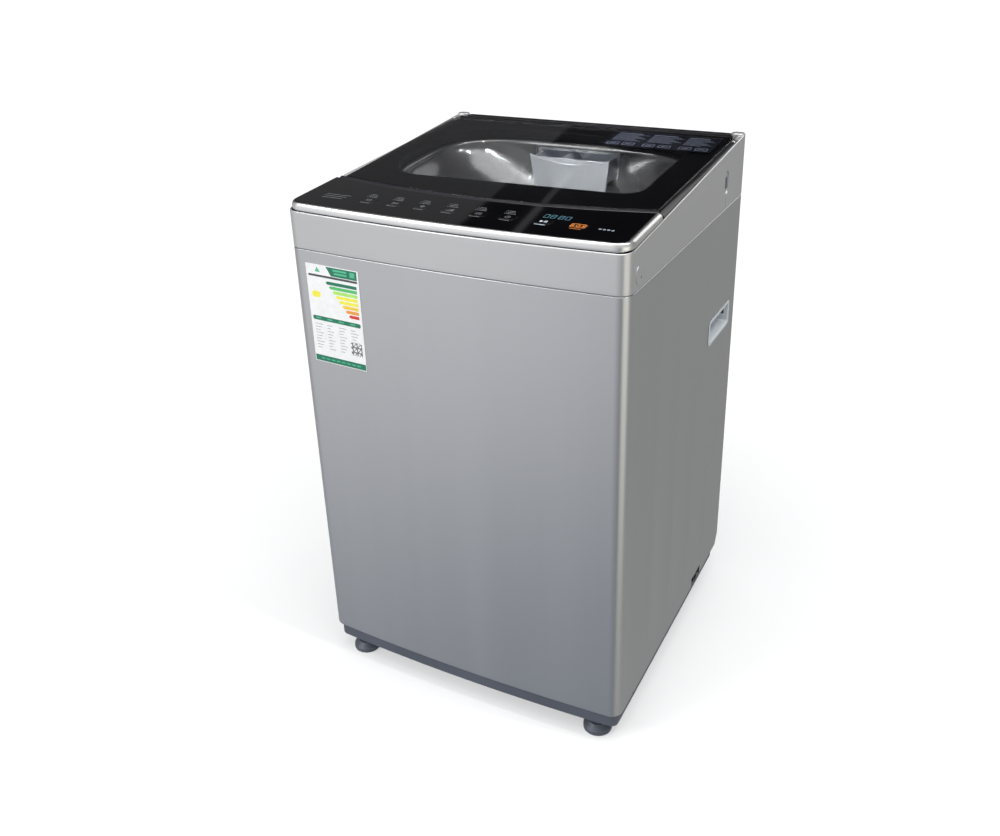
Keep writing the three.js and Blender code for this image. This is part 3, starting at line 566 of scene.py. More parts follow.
# ---------------------------------------------------------------- printed shapes
class Print:
    """Flat printed shapes, a few hundredths of a millimetre thick, laid on a surface."""

    def __init__(self, surface, inks):
        self.surface = surface
        self.inks = inks
        self.points, self.faces, self.slots = [], [], []

    def shape(self, outline, ink, low=0.05, high=0.12):
        start, count = len(self.points), len(outline)
        for height in (low, high):
            self.points += [self.surface(a, b, height) for a, b in outline]
        self.faces.append(tuple(range(start, start + count))[::-1])
        self.faces.append(tuple(range(start + count, start + 2 * count)))
        for j in range(count):
            k = (j + 1) % count
            self.faces.append((start + j, start + k, start + count + k, start + count + j))
        self.slots += [self.inks.index(ink)] * (count + 2)

    def rect(self, a0, a1, b0, b1, ink, low=0.05, high=0.12):
        steps = max(1, round(abs(a1 - a0) / 12))
        below = [(a0 + (a1 - a0) * i / steps, b0) for i in range(steps + 1)]
        above = [(a, b1) for a, _ in reversed(below)]
        self.shape(below + above, ink, low, high)

    def stroke(self, line, width, ink):
        for (ax, ay), (bx, by) in zip(line, line[1:]):
            length = math.dist((ax, ay), (bx, by))
            nx, ny = (ay - by) / length * width / 2, (bx - ax) / length * width / 2
            ends = [(ax - nx, ay - ny), (bx - nx, by - ny), (bx + nx, by + ny), (ax + nx, ay + ny)]
            self.shape(ends, ink)

    def ring(self, cx, cy, r, width, ink, start=0, end=360, steps=20):
        outer = arc(cx, cy, r, start, end, steps)
        inner = arc(cx, cy, r - width, start, end, steps)
        for i in range(steps):
            self.shape([outer[i], outer[i + 1], inner[i + 1], inner[i]], ink)

    def frame(self, outline, width, ink, low=0.05, high=0.12):
        """The line between an outline and its inset."""
        outer, inner = outline(0), outline(width)
        for i in range(len(outer)):
            k = (i + 1) % len(outer)
            self.shape([outer[i], outer[k], inner[k], inner[i]], ink, low, high)

    def piece(self, name, body, slot):
        obj = new_mesh(name, self.points, self.faces, join=False)
        for ink in self.inks:
            obj.data.materials.append(INK[ink])
        obj.data.polygons.foreach_set("material_index", self.slots)
        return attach(obj, body)


# ---------------------------------------------------------------- cabinet
def side_pressing(y, z):
    """Depth of the stiffening channels pressed into the side walls."""
    depth = 0.0
    for middle, top in ((-130, 640), (-30, 640), (70, 500), (165, 470)):
        across = abs(y - middle) / 34
        along = max(150 - z, z - top, 0) / 34
        away = math.hypot(across, along)
        if away < 1:
            depth = max(depth, 1.3 * (0.5 + 0.5 * math.cos(math.pi * away)))
    return depth


def cabinet_shell():
    hem, rim, sheet = 3.0, 1.1, 1.2
    bottom, top = PANEL_BOTTOM + hem, SEAM - GAP - rim
    # Inset and height: turned in under the hem, up the wall, and rounded in at the rim.
    levels = [(hem + 5, PANEL_BOTTOM)]
    levels += [(hem * (1 - s), bottom - hem * c) for s, c in quarter(6)]
    levels += [(0.0, bottom + (top - bottom) * i / 64) for i in range(1, 65)]
    levels += [(rim * (1 - c), top + rim * s) for s, c in quarter(4, 1)]
    rows = []
    for inset, z in levels:
        row = []
        for x, y in cabinet_wrap(inset):
            if abs(x) > HALF - inset - 0.01 and FRONT + CORNER < y < BACK - REAR_CORNER:
                x -= math.copysign(side_pressing(y, z), x)
            row.append((x, y, z))
        rows.append(row)
    wall = sheet_grid("cabinet_wrap", rows)
    front_face = wall.data.polygons[len(wall.data.polygons) // 2]
    thicken(wall, sheet, front_face.normal.y < 0)
    low, high = box_of("side_handle_right")
    below = PANEL_BOTTOM - 2
    tools = []
    for side in (-1, 1):
        x0, x1 = sorted((side * (HALF - 6), side * (HALF + 4)))
        # The grip's opening, the cut-out for the low dark fitting, and a slit near the front.
        tools += [
            block("hole", x0, x1, low.y + 2, high.y - 2, low.z + 2, high.z - 2),
            block("hole", x0 - 8, x1 + 8, 100, 150, below, PANEL_BOTTOM + 20),
            block("hole", x0 - 8, x1 + 8, -208, -202, below, PANEL_BOTTOM + 5),
        ]
    slope = [(BACK - 22, below), (BACK + 2, below), (BACK + 2, PANEL_BOTTOM + 41)]
    cut(wall, *tools, prism("hole", slope, -300, 300, "X"))
    settle(wall, "cabinet", "silver_paint", ["cabinet_shell"])


def suspension_brackets():
    """Corner plates inside the cabinet that the suspension rods hang from."""
    top = box_of("suspension_rod_front_left")[1].z - 10
    reach, corner_cut = 66.0, 10.0
    for end, side in CORNERS:
        sx, sy = -1 if side == "left" else 1, -1 if end == "front" else 1
        x = sx * (HALF - 1.8)
        y = FRONT + 1.8 if sy < 0 else BACK - 3.6
        outline = [(x, y - sy * reach), (x, y - sy * corner_cut),
                   (x - sx * corner_cut, y), (x - sx * reach, y)]
        bracket = prism(f"rod_bracket_{end}_{side}", outline, top - 3, top)
        settle(bevel(bracket, 0.6), "cabinet", "galvanised")


def back_panel():
    low, high = box_of("back_panel")
    ribs = (-150, -50, 50, 150)

    def lift(x, z):
        across = min(abs(x - at) for at in ribs)
        along = max(150 - z, z - 690, 0)
        away = math.hypot(max(across - 6, 0), along) / 9
        return 1.5 * (0.5 + 0.5 * math.cos(math.pi * min(away, 1)))

    xs = [low.x + (high.x - low.x) * i / 174 for i in range(175)]
    zs = [low.z + (high.z - low.z) * i / 90 for i in range(91)]
    face = BACK - 1.5
    panel = sheet_grid("back_cover", [[(x, face + lift(x, z) - 0.2, z) for x in xs] for z in zs])
    thicken(panel, 1.0, panel.data.polygons[0].normal.y > 0)
    louvres = [
        block("hole", -12 + x, 12 + x, face - 8, face + 8, z, z + 4)
        for x in (-100, 100) for z in range(560, 660, 14)
    ]
    cut(panel, *louvres)
    settle(panel, "cabinet", "galvanised", ["back_panel"])


def screw(name, x, y, z, body="cabinet", r=3.4):
    """A pan head screw with a cross slot, its head facing the back."""
    head = turned(name, [(0, -0.2), (r, -0.2), (r, 0.5), (r * 0.8, 1.2), (r * 0.45, 1.5), (0, 1.55)],
                  24, at=(x, y, z), axis="Y")
    for a, b in ((r * 0.62, 0.45), (0.45, r * 0.62)):
        cut(head, block("hole", x - a, x + a, y + 0.7, y + 3, z - b, z + b))
    return settle(head, body, "galvanised")


def back_screws():
    face = BACK - 0.1
    for side, sx in (("left", -1), ("right", 1)):
        for i, z in enumerate((130, 330, 530, 730)):
            screw(f"screw_{side}_{i}", sx * 254.5, face, z)
        for i, x in enumerate((60, 235)):
            screw(f"cover_screw_{side}_{i}", sx * x, face, 790)


def base_frame():
    low = box_of("base_frame")[0].z
    high = PANEL_BOTTOM + 3
    section = [
        (12, low), (9, low + 0.3), (7.8, low + 1.2), (7, low + 3), (7, PANEL_BOTTOM - 1.5), (7, high),
        (3.2, high), (3.2, 78), (12, 78), (12, 40), (44, 40), (44, 78), (48, 78), (48, low + 1), (47, low),
    ]
    rings = [[(x, y, z) for x, y in cabinet_plan(inset)] for inset, z in section]
    base = skin("base_frame_moulding", rings, loop=True)
    for x in (-228, 228):
        for y in (-240, 240):
            boss = turned("boss", [(6.6, low), (21, low), (21, 77), (6.6, 77)], 48, at=(x, y, 0))
            weld(base, boss)
    chamfer = [(BACK - 26, low - 1), (BACK + 2, low - 1), (BACK + 2, 95)]
    cut(base, prism("hole", chamfer, -300, 300, "X"), block("hole", 215, 300, 100, 150, PANEL_BOTTOM - 9, 80))
    settle(base, "cabinet", "dark_plastic", ["base_frame"])


def foot(end, side):
    node = f"foot_{end}_{side}"
    x, y, _, high, r = middle_of(node)
    pad = [(0, 1.0), (r - 6, 1.0), (r - 5, 0), (r - 1.2, 0), (r, 1.2), (r, 4.2), (r - 0.8, 4.8), (r, 5.4),
           (r - 0.2, 8), (r - 1.6, 9.4), (17, 13.4), (15, 16), (0, 16)]
    stem = [(0, 15.5), (5.6, 15.5)]
    z, pitch = 22.0, 1.5
    while z < high - 2:
        stem += [(5.6, z), (6.3, z + 0.6), (5.6, z + 1.2)]
        z += pitch
    stem += [(5.0, high), (0, high)]
    nut = skin("nut", [[(x + k * px, y + k * py, h) for px, py in arc(0, 0, 13, 0, 300, 5)]
                       for k, h in ((0.93, 15.2), (1, 16), (1, 21.2), (0.93, 22))])
    piece = merged(f"{node}_moulding", turned("pad", pad, 64, at=(x, y, 0)), nut,
                   turned("stem", stem, 32, at=(x, y, 0)))
    body = f"front_{side}_foot" if end == "front" else "cabinet"
    settle(piece, body, "dark_plastic", [node])


def side_handle(side):
    node = f"side_handle_{side}"
    low, high = box_of(node)
    sign = 1 if side == "right" else -1
    outline = rounded_box(low.y, high.y, low.z, high.z, 9, 8)
    outer, floor = HALF + 1.3, HALF - 31.2
    # Inset and place along X: up the cup's hidden side, round the bezel, and down to its floor.
    section = [(13, floor - 2), (7.6, HALF - 30), (4.6, HALF - 24), (2.8, HALF - 2), (2.8, HALF + GAP),
               (0.4, HALF + GAP), (0, HALF + 0.7), (0.5, outer - 0.1), (1.4, outer), (4.6, outer),
               (5.6, outer - 0.4), (6.2, outer - 1.4), (7.0, HALF - 24), (9.5, HALF - 30), (14, floor)]
    rings = [[(sign * x, y, z) for y, z in outline(inset)] for inset, x in section]
    cup = skin(f"{node}_moulding", rings)
    x0, x1 = sorted((sign * (HALF - 25), sign * (HALF - 7)))
    cut(cup, block("hole", x0, x1, high.y - 16, high.y + 2, high.z - 27, high.z - 11))
    settle(cup, "cabinet", "pale_plastic", [node])


cabinet_shell()
suspension_brackets()
back_panel()
back_screws()
base_frame()
for corner_end, corner_side in CORNERS:
    foot(corner_end, corner_side)
side_handle("left")
side_handle("right")


# ---------------------------------------------------------------- top cover
def cover_top(x, y):
    """Height of the cover's rim: its side walls rise to the back, where the rail is lower."""
    return RAIL_TOP if y > BACK - 5 and abs(x) < EAR_X + 4 else side_at(y)


def top_cover():
    low = SEAM + GAP
    # Inset, height, and whether the height is measured from the rim.
    section = [
        (2.0, low, 0), (1.0, low + 0.1, 0), (0.3, low + 0.5, 0), (0, low + 1.3, 0), (0, low + 8, 0),
        (0, -8, 1), (0, -1.6, 1), (0.35, -0.6, 1), (1.1, -0.05, 1), (1.6, 0, 1), (COVER_WALL, -0.4, 1),
        (COVER_WALL, -8, 1), (COVER_WALL, low + 1, 0),
    ]
    rings = []
    for inset, z, from_rim in section:
        plan = cabinet_plan(inset)
        rings.append([(x, y, z + (cover_top(x, y) if from_rim else 0)) for x, y in plan])
    cover = skin("cover_wall", rings, loop=True)
    lip = [[(x, y, z) for x, y in cabinet_plan(inset)]
           for inset, z in ((2.2, SEAM - 8), (2.2, SEAM + 2), (4.6, SEAM + 2), (4.6, SEAM - 8))]
    weld(cover, skin("lip", lip, loop=True))

    foot_z, cheek_back = 848, EAR_Y + 4
    ear = rounded_box(EAR_X, HALF, EAR_Y, BACK, REAR_CORNER, 6)
    cheek = [(CHEEK_Y, foot_z), (cheek_back, foot_z),
             (cheek_back, side_at(cheek_back)), (CHEEK_Y, side_at(CHEEK_Y))]
    for sign in (-1, 1):
        weld(cover, plate("ear", ear, 846, EAR_TOP, lambda a, b, h, s=sign: (s * a, b, h), edge=2.0))
        weld(cover, bevel(prism("cheek", cheek, sign * CHEEK_X, sign * (HALF - 1.4), "X"), 0.6))
        cut(cover, bore(4.4, sign * (CHEEK_X - 1), sign * (PIN_HIGH.x + 1), 24, HINGE, "X"))
    weld(cover, block("rail", -EAR_X - 1, EAR_X + 1, BACK - 10, BACK - 1, foot_z, RAIL_TOP))

    window = rounded_box(VALVE_X["cold"] - 31, VALVE_X["hot"] + 26, VALVE_Z - 24, VALVE_Z + 24, 5)
    cut(cover, plate("hole", window, BACK - 6, BACK + 2, lambda a, b, h: (a, h, b)),
        bore(10.3, BACK - 6, BACK + 2, 48, (CORD_X, 0, VALVE_Z), "Y"))
    crescent = arc(-233, SEAM + 21.5, 14, 105, 255, 16) + arc(-230.5, SEAM + 21.5, 10.5, 245, 115, 16)
    for sign in (-1, 1):
        cut(cover, *side_marks(sign))
        weld(cover, bevel(prism("ridge", crescent, sign * (HALF - 1), sign * (HALF + 0.8), "X"), 0.5))
    settle(cover, "cabinet", "silver_plastic", ["top_cover"])

    cap = rounded_box(-EAR_X + 0.4, EAR_X - 0.4, EAR_Y - 0.5, BACK - 2.5, 1.5, 3)
    cap = plate("rail_cap", cap, RAIL_TOP - 0.5, RAIL_TOP + 8.2, edge=1.2)
    settle(cap, "cabinet", "black_plastic")
    # Dark plates in the side slots' shallow recesses: painted shade, so that the recesses read as deep dark
    # holes.
    shade_plate_outline = rounded_box(160.8, 171.0, SEAM + 34.4, SEAM + 53.6, 4.9, 6)
    for side, sign in (("left", -1), ("right", 1)):
        shade_plate = plate(f"slot_plug_{side}", shade_plate_outline, HALF - 2.15, HALF - 0.85, on_side(sign), edge=0.4)
        settle(shade_plate, "cabinet", "dark_plastic")


def side_marks(sign):
    """Shallow moulded marks in the cover's side wall, as cutting shapes."""
    y, z = 165.0, SEAM + 26
    dot = arc(-226, SEAM + 15, 2.2, 0, 340, 17)
    marks = [
        (1.7, rounded_box(y - 9, y + 9, z - 2, z + 38, 8.9, 8)),
        (2.3, rounded_box(y - 4.6, y + 6.4, z + 8, z + 28, 5.2, 6)),
        (0.8, rounded_box(y - 0.7, y + 0.7, SEAM - 2, z + 1, 0.65, 3)),
        (1.2, lambda inset: dot),
    ]
    return [plate("mark", outline, HALF - depth, HALF + 2, on_side(sign)) for depth, outline in marks]


def funnel_deck():
    """The deck inside the rim, rolling over into the loading funnel."""
    edge = around_mouth(cabinet_plan(COVER_WALL))
    mouth = [mouth_point(a) for a in MOUTH_ANGLES]
    rows = [[(x, y, top_at(y) - DECK_DROP) for x, y in edge]]
    # Distance out from the mouth and height over the deck: a shallow gutter, then a raised rim.
    for out, height in ((18, 0), (15, -0.4), (12.5, -0.6), (10.5, 0.2), (9, 1.4), (7, 2.1), (5, 2.2),
                        (3.2, 1.7), (1.6, 0.5), (0.6, -1.4), (0.1, -4.0)):
        row = []
        for outer, inner in zip(edge, mouth):
            x, y = towards(inner, outer, min(out, math.dist(outer, inner) - 0.1 * (20 - out)))
            row.append((x, y, top_at(y) - DECK_DROP + height))
        rows.append(row)
    steps, ease = 26, 1.35
    for i in range(1, steps + 1):
        t = i / steps
        row = []
        for angle, (mx, my) in zip(MOUTH_ANGLES, mouth):
            x = mx + (FUNNEL_R * math.cos(angle) - mx) * t ** ease
            y = my + (FUNNEL_R * math.sin(angle) - my) * t ** ease
            start = top_at(my) - DECK_DROP - 4.0
            row.append((x, y, start + (FUNNEL_BOTTOM - start) * t))
        rows.append(row)
    funnel = sheet_grid("deck_and_funnel", rows, around=True)
    thicken(funnel, 2.2, funnel.data.polygons[0].normal.z > 0)
    low, high = box_of("detergent_housing")
    cut(funnel, block("hole", low.x - 1, high.x + 1, 150, 263, low.z - 1, 843))
    settle(funnel, "cabinet", "silver_plastic", ["loading_funnel"], FUNNEL_SILVER, sharp=50)


top_cover()
funnel_deck()


# ---------------------------------------------------------------- control panel
def panel_outline(side, front, rear, corner=None):
    """Plan of the control panel up the slope, inset from the cabinet's sides, front and lid."""
    x = HALF - side
    r = 26 - side if corner is None else corner
    back = LID_FRONT - 2 - rear
    line = bow_line(r - x, x - r, front, BOW, 48)
    line += arc(x - r, front + r, r, -90, 0, 14)[1:]
    line += bow_line(-x, x, back, LID_BOW, 48)[::-1]
    line += arc(r - x, front + r, r, 180, 270, 14)[:-1]
    return line


def control_panel_trim():
    # Side, front and rear insets, and how far from the lower edge (0) to the glass rim (1).
    section = [(3.0, 2.5, 0.6, 0.0), (2.0, 1.5, 0.2, 0.0), (1.5, 1.0, 0, 0.06), (1.5, 1.0, 0, 0.28)]
    section += [(1.5 + 6.6 * (1 - c), 1.0 + 3.7 * (1 - c), 0, 0.28 + 0.72 * s) for s, c in quarter(8, 1)]
    section += [(8.25, 4.75, 0.05, 0.97), (8.25, 4.75, 0.05, 0.74), (14, 10, 5, 0.70), (14, 10, 5, 0.02)]
    rings = []
    for side, front, rear, share in section:
        ring = []
        for x, up in panel_outline(side, front, rear):
            start = SIDE_FRONT - TOP_FRONT + 1 + RISE * up
            ring.append(tilted_point(x, up, start + (-0.55 - start) * share))
        rings.append(ring)
    trim = skin("panel_surround", rings, loop=True)
    settle(trim, "cabinet", "bright_trim", ["control_panel_trim"], sharp=40)


def key_outline(x, grow=0.0):
    w, d = KEY_W / 2 + grow, KEY_D / 2 + grow
    return rounded_box(x - w, x + w, KEY_UP - d, KEY_UP + d, 2.5 + grow, 5)


def control_panel():
    def outline(inset=0.0):
        return panel_outline(8.55 + inset, 5.05 + inset, 0.05 + inset, 26 - 8.55 - inset)
    panel = plate("panel_glass", outline, -PANEL_GLASS, 0, tilted_point, edge=0.7)
    holes = [plate("hole", key_outline(x, GAP), -9, 5, tilted_point) for x in KEY_X.values()]
    cut(panel, *holes)
    settle(panel, "cabinet", "black_gloss", ["control_panel"])
    for name, x in KEY_X.items():
        cap = plate(f"{name}_keycap", key_outline(x), -7, 0.2, tilted_point, edge=0.4)
        settle(cap, f"{name}_key", "black_gloss", [f"key_{name}"])


def key_icon(name, x):
    """A small line drawing for each key."""
    lift = 0.16
    inks = ["print_grey", "print_pale", "print_orange"]
    drawing = Print(lambda a, b, h: tilted_point(a, b, h + lift), inks)
    up, ink, thin = KEY_UP + 0.6, "print_grey", 0.7
    if name == "wash":
        for shift in (-2.2, 0.4, 3.0):
            wave = [(x - 5 + i * 0.5, up + shift + math.sin(i * 0.63) * 0.9) for i in range(21)]
            drawing.stroke(wave, thin, ink)
    elif name == "rinse":
        for shift in (-3.6, 0, 3.6):
            drawing.ring(x + shift, up - 1.2, 1.5, 0.6, ink)
            tip = x + shift
            drawing.stroke([(tip - 1.1, up - 0.2), (tip, up + 2.8), (tip + 1.1, up - 0.2)], 0.6, ink)
    elif name == "spin":
        growth, turn = 0.11, 0.42
        spiral = [(x + i * growth * math.cos(i * turn), up + i * growth * math.sin(i * turn))
                  for i in range(1, 38)]
        drawing.stroke(spiral, thin, ink)
    elif name == "level":
        for i in range(5):
            drawing.rect(x - 6 + i * 2.6, x - 4.4 + i * 2.6, up - 3.6, up - 2 + i * 1.3, ink)
    elif name == "program":
        for i in range(4):
            drawing.rect(x - 5, x - 4, up + 2.6 - i * 2.1, up + 3.4 - i * 2.1, ink)
            drawing.rect(x - 3, x + 5.4, up + 2.7 - i * 2.1, up + 3.3 - i * 2.1, ink)
    elif name == "delay":
        drawing.ring(x, up, 4.2, thin, ink, steps=28)
        drawing.stroke([(x, up + 2.8), (x, up), (x + 2.1, up - 1.2)], thin, ink)
    elif name == "start":
        drawing.shape([(x - 4.6, up - 3.2), (x + 0.6, up), (x - 4.6, up + 3.2)], "print_pale")
        for bar in (2.0, 4.5):
            drawing.rect(x + bar, x + bar + 1.3, up - 3.2, up + 3.2, "print_pale")
    else:
        ink = "print_orange"
        drawing.frame(rounded_box(x - 11, x + 11, up - 7.2, up + 6.0, 2.8, 5), 1.5, ink)
        drawing.ring(x, up - 0.8, 3.7, 1.2, ink, start=125, end=415)
        drawing.stroke([(x, up + 3.8), (x, up - 0.6)], 1.2, ink)
        for middle in (x - 7.2, x + 7.2):
            drawing.rect(middle - 1, middle + 1, up - 4, up + 2.6, ink)
    drawing.piece(f"{name}_icon", f"{name}_key", "black_gloss")


def panel_print():
    """Rows of short lines, lamps and a digit window printed behind the panel glass."""
    drawing = Print(tilted_point, ["print_grey", "print_pale", "print_orange", "print_teal"])
    for name, x in KEY_X.items():
        ink = {"start": "print_pale", "power": "print_orange"}.get(name, "print_grey")
        drawing.rect(x - 8, x + 8, KEY_UP - KEY_D / 2 - 4.6, KEY_UP - KEY_D / 2 - 3.4, ink)
        if name in ("start", "power"):
            continue
        for row in range(3):
            base = KEY_UP + KEY_D / 2 + 5 + row * 5.2
            drawing.ring(x - 11, base + 0.8, 0.9, 0.55, ink, steps=12)
            drawing.rect(x - 8.5, x + 6 - row * 2.5, base, base + 1.3, ink)
    # Four digits of seven bars each; the first and the last are zeros, without a middle bar.
    up = KEY_UP + 15
    middle_bar = (-3, 3, 6, 7)
    bars = [(-3, 3, 0, 1), middle_bar, (-3, 3, 12, 13)]
    bars += [(a, a + 0.8, b, b + 5.6) for b in (0.6, 6.8) for a in (-3.6, 2.8)]
    for x in (128, 138, 150, 160):
        for bar in bars:
            if x in (128, 160) and bar == middle_bar:
                continue
            a0, a1, b0, b1 = bar
            drawing.rect(x + a0, x + a1, up + b0, up + b1, "print_teal")
    for row in range(3):
        drawing.rect(-232, -196 + row * 4, KEY_UP - 8 + row * 7, KEY_UP - 6.8 + row * 7, "print_grey")
    for x in (216, 222, 228, 234):
        drawing.ring(x, KEY_UP - 2, 1.9, 0.6, "print_pale", steps=14)
    drawing.piece("panel_print", "cabinet", "black_gloss")


control_panel_trim()
control_panel()
panel_print()
for key_name, key_x in KEY_X.items():
    key_icon(key_name, key_x)


# ---------------------------------------------------------------- lid
def lid_outline(x, front, back, corner=5.0):
    """Plan of the lid up the slope: a bowed front and straight sides with eased corners."""
    nose = front + 2 * corner * 0.22
    line = bow_line(corner - x, x - corner, front, LID_BOW, 56) + [(x, nose)]
    line += arc(x - corner, back - corner, corner, 0, 90, 6)
    line += arc(corner - x, back - corner, corner, 90, 180, 6)
    return line + [(-x, nose)]


def lid_glass():
    def outline(inset=0.0):
        return lid_outline(LID_X - inset, LID_FRONT + STRIP + inset, LID_SIDE_BACK - inset)
    glass = plate("lid_pane", outline, -GLASS, 0, tilted_point, edge=0.9)
    settle(glass, "lid", "tinted_glass", ["lid_glass"])


def window_border():
    """Black print under the glass: it leaves a window with a round front left corner."""
    line = lid_outline(LID_X - 1.5, LID_FRONT + STRIP + 1.5, LID_SIDE_BACK - 1.5)
    sheet = plate("border_print", lambda inset: line, -GLASS - 0.2, -GLASS - 0.1, tilted_point)
    x0, x1, u0, u1 = -236, 212, 187, 474
    window = (arc(x1 - 34, u0 + 44, 34, -90, 0, 10) + arc(x1 - 30, u1 - 30, 30, 0, 90, 10)
              + arc(x0 + 30, u1 - 30, 30, 90, 180, 10) + arc(x0 + 76, u0 + 72, 72, 180, 270, 14))
    cut(sheet, plate("hole", lambda inset: window, -GLASS - 2, -GLASS + 1, tilted_point))
    settle(sheet, "lid", "tinted_glass", material=INK["border_black"])


def lid_frame():
    plan = lid_outline(LID_FRAME_X, LID_FRONT + STRIP, LID_BACK, 2.0)
    edge = [(x, y - FRONT) for x, y in around_mouth([(x, y + FRONT) for x, y in plan])]
    window = [(x, y - FRONT) for x, y in (mouth_point(angle, 5) for angle in MOUTH_ANGLES)]
    top, low = -GLASS - GAP, -LID_THICK
    # Which loop, how far from it towards the other, and the height.
    section = [("edge", 1.2, low), ("edge", 0, low + 1.2), ("edge", 0, top - 0.8), ("edge", 0.8, top),
               ("window", 1.6, top), ("window", 0.5, top - 0.5), ("window", 0, top - 1.6),
               ("window", 0, low + 1.6), ("window", 1.6, low), ("window", 5, low), ("window", 5.4, low + 6),
               ("edge", 5.4, low + 6), ("edge", 5, low)]
    rings = []
    for loop, distance, height in section:
        ring = []
        for a, b in zip(edge, window):
            if math.dist(a, b) < 12:
                distance = min(distance, 1.6)
            x, up = towards(a, b, distance) if loop == "edge" else towards(b, a, distance)
            ring.append(tilted_point(x, up, height))
        rings.append(ring)
    ring_body = skin("ring", rings, loop=True)
    bar = rounded_box(-LID_FRAME_X, LID_FRAME_X, LID_SIDE_BACK + GAP, LID_BACK, 2.0, 4)
    weld(ring_body, plate("bar", bar, -LID_THICK + 1, 0, tilted_point, edge=0.9))

    start_x, skirt_x, first = LID_X - 0.4, HALF - COVER_WALL - 0.5, LID_FRONT + STRIP
    for sign in (-1, 1):
        rings = []
        for i in range(25):
            up = first + (SKIRT_BACK - first) * i / 24
            foot_height = min(SIDE_FRONT - TOP_FRONT + 0.5 + RISE * up, -GLASS - 1.5)
            points = [(start_x, top)]
            for t in (0.2, 0.4, 0.6, 0.8, 1.0):
                bulge = 0.9 * math.sin(math.pi * t)
                points.append((start_x + (skirt_x - start_x) * t + bulge * 0.4,
                               top + (foot_height - top) * t + bulge * 0.6))
            points += [(skirt_x, foot_height - 1), (LID_X - 6, foot_height - 1), (LID_X - 6, top)]
            rings.append([tilted_point(sign * x, up, h) for x, h in points])
        weld(ring_body, skin("skirt", rings))
    for sign in (-1, 1):
        cut(ring_body, bore(4.3, sign * (PIN_LOW.x - GAP), sign * (LID_FRAME_X + 2), 24, HINGE, "X"))
    settle(ring_body, "lid", "black_plastic", ["lid_frame"])


def lid_front_strip():
    """Finger strip along the bowed front edge, with a groove along its top."""
    section = [
        (0.8, -14.6), (0.2, -14.0), (0, -13.0), (0, -2.8), (0.4, -1.5), (1.4, -0.8), (3.4, -0.8),
        (4.2, -0.45), (8.4, -0.45), (9.2, -1.2), (9.2, -6.6), (8.6, -7.2),
        (3.2, -7.2), (2.6, -8.0), (2.6, -14.2), (2.2, -14.6),
    ]
    rings = [[tilted_point(x, up + forward, height) for forward, height in section]
             for x, up in bow_line(-LID_X, LID_X, LID_FRONT, LID_BOW, 80)]
    settle(skin("finger_strip", rings), "lid", "dark_trim", ["lid_front_trim"], sharp=28)


def instruction_label():
    """A dark label on the lid's rear right corner, with rows of plain lines and simple pictures."""
    drawing = Print(tilted_point, ["label_dark", "label_line", "print_pale"])
    ink = ("label_line", 0.09, 0.14)
    x0, x1, u0, u1 = 66, 250, 412, 492
    drawing.shape(rounded_box(x0, x1, u0, u1, 3)(0), "label_dark", 0.02, 0.08)
    for column, (a, b) in enumerate(((72, 128), (134, 190), (196, 244))):
        drawing.rect(a, b - 14, u1 - 8.6, u1 - 6.8, *ink)
        for row in range(8):
            end = b - ((row * 7 + column * 5) % 4) * 6
            up = u1 - 15 - row * 4.8
            drawing.rect(a, end, up, up + 0.8, *ink)
        for left in (a, a + 27):
            drawing.frame(rounded_box(left, left + 20, u0 + 6, u0 + 20, 2), 0.8, *ink)
            drawing.rect(left + 4, left + 16, u0 + 12.4, u0 + 13.6, *ink)
    drawing.piece("instruction_label", "lid", "tinted_glass")


lid_glass()
window_border()
lid_frame()
lid_front_strip()
instruction_label()


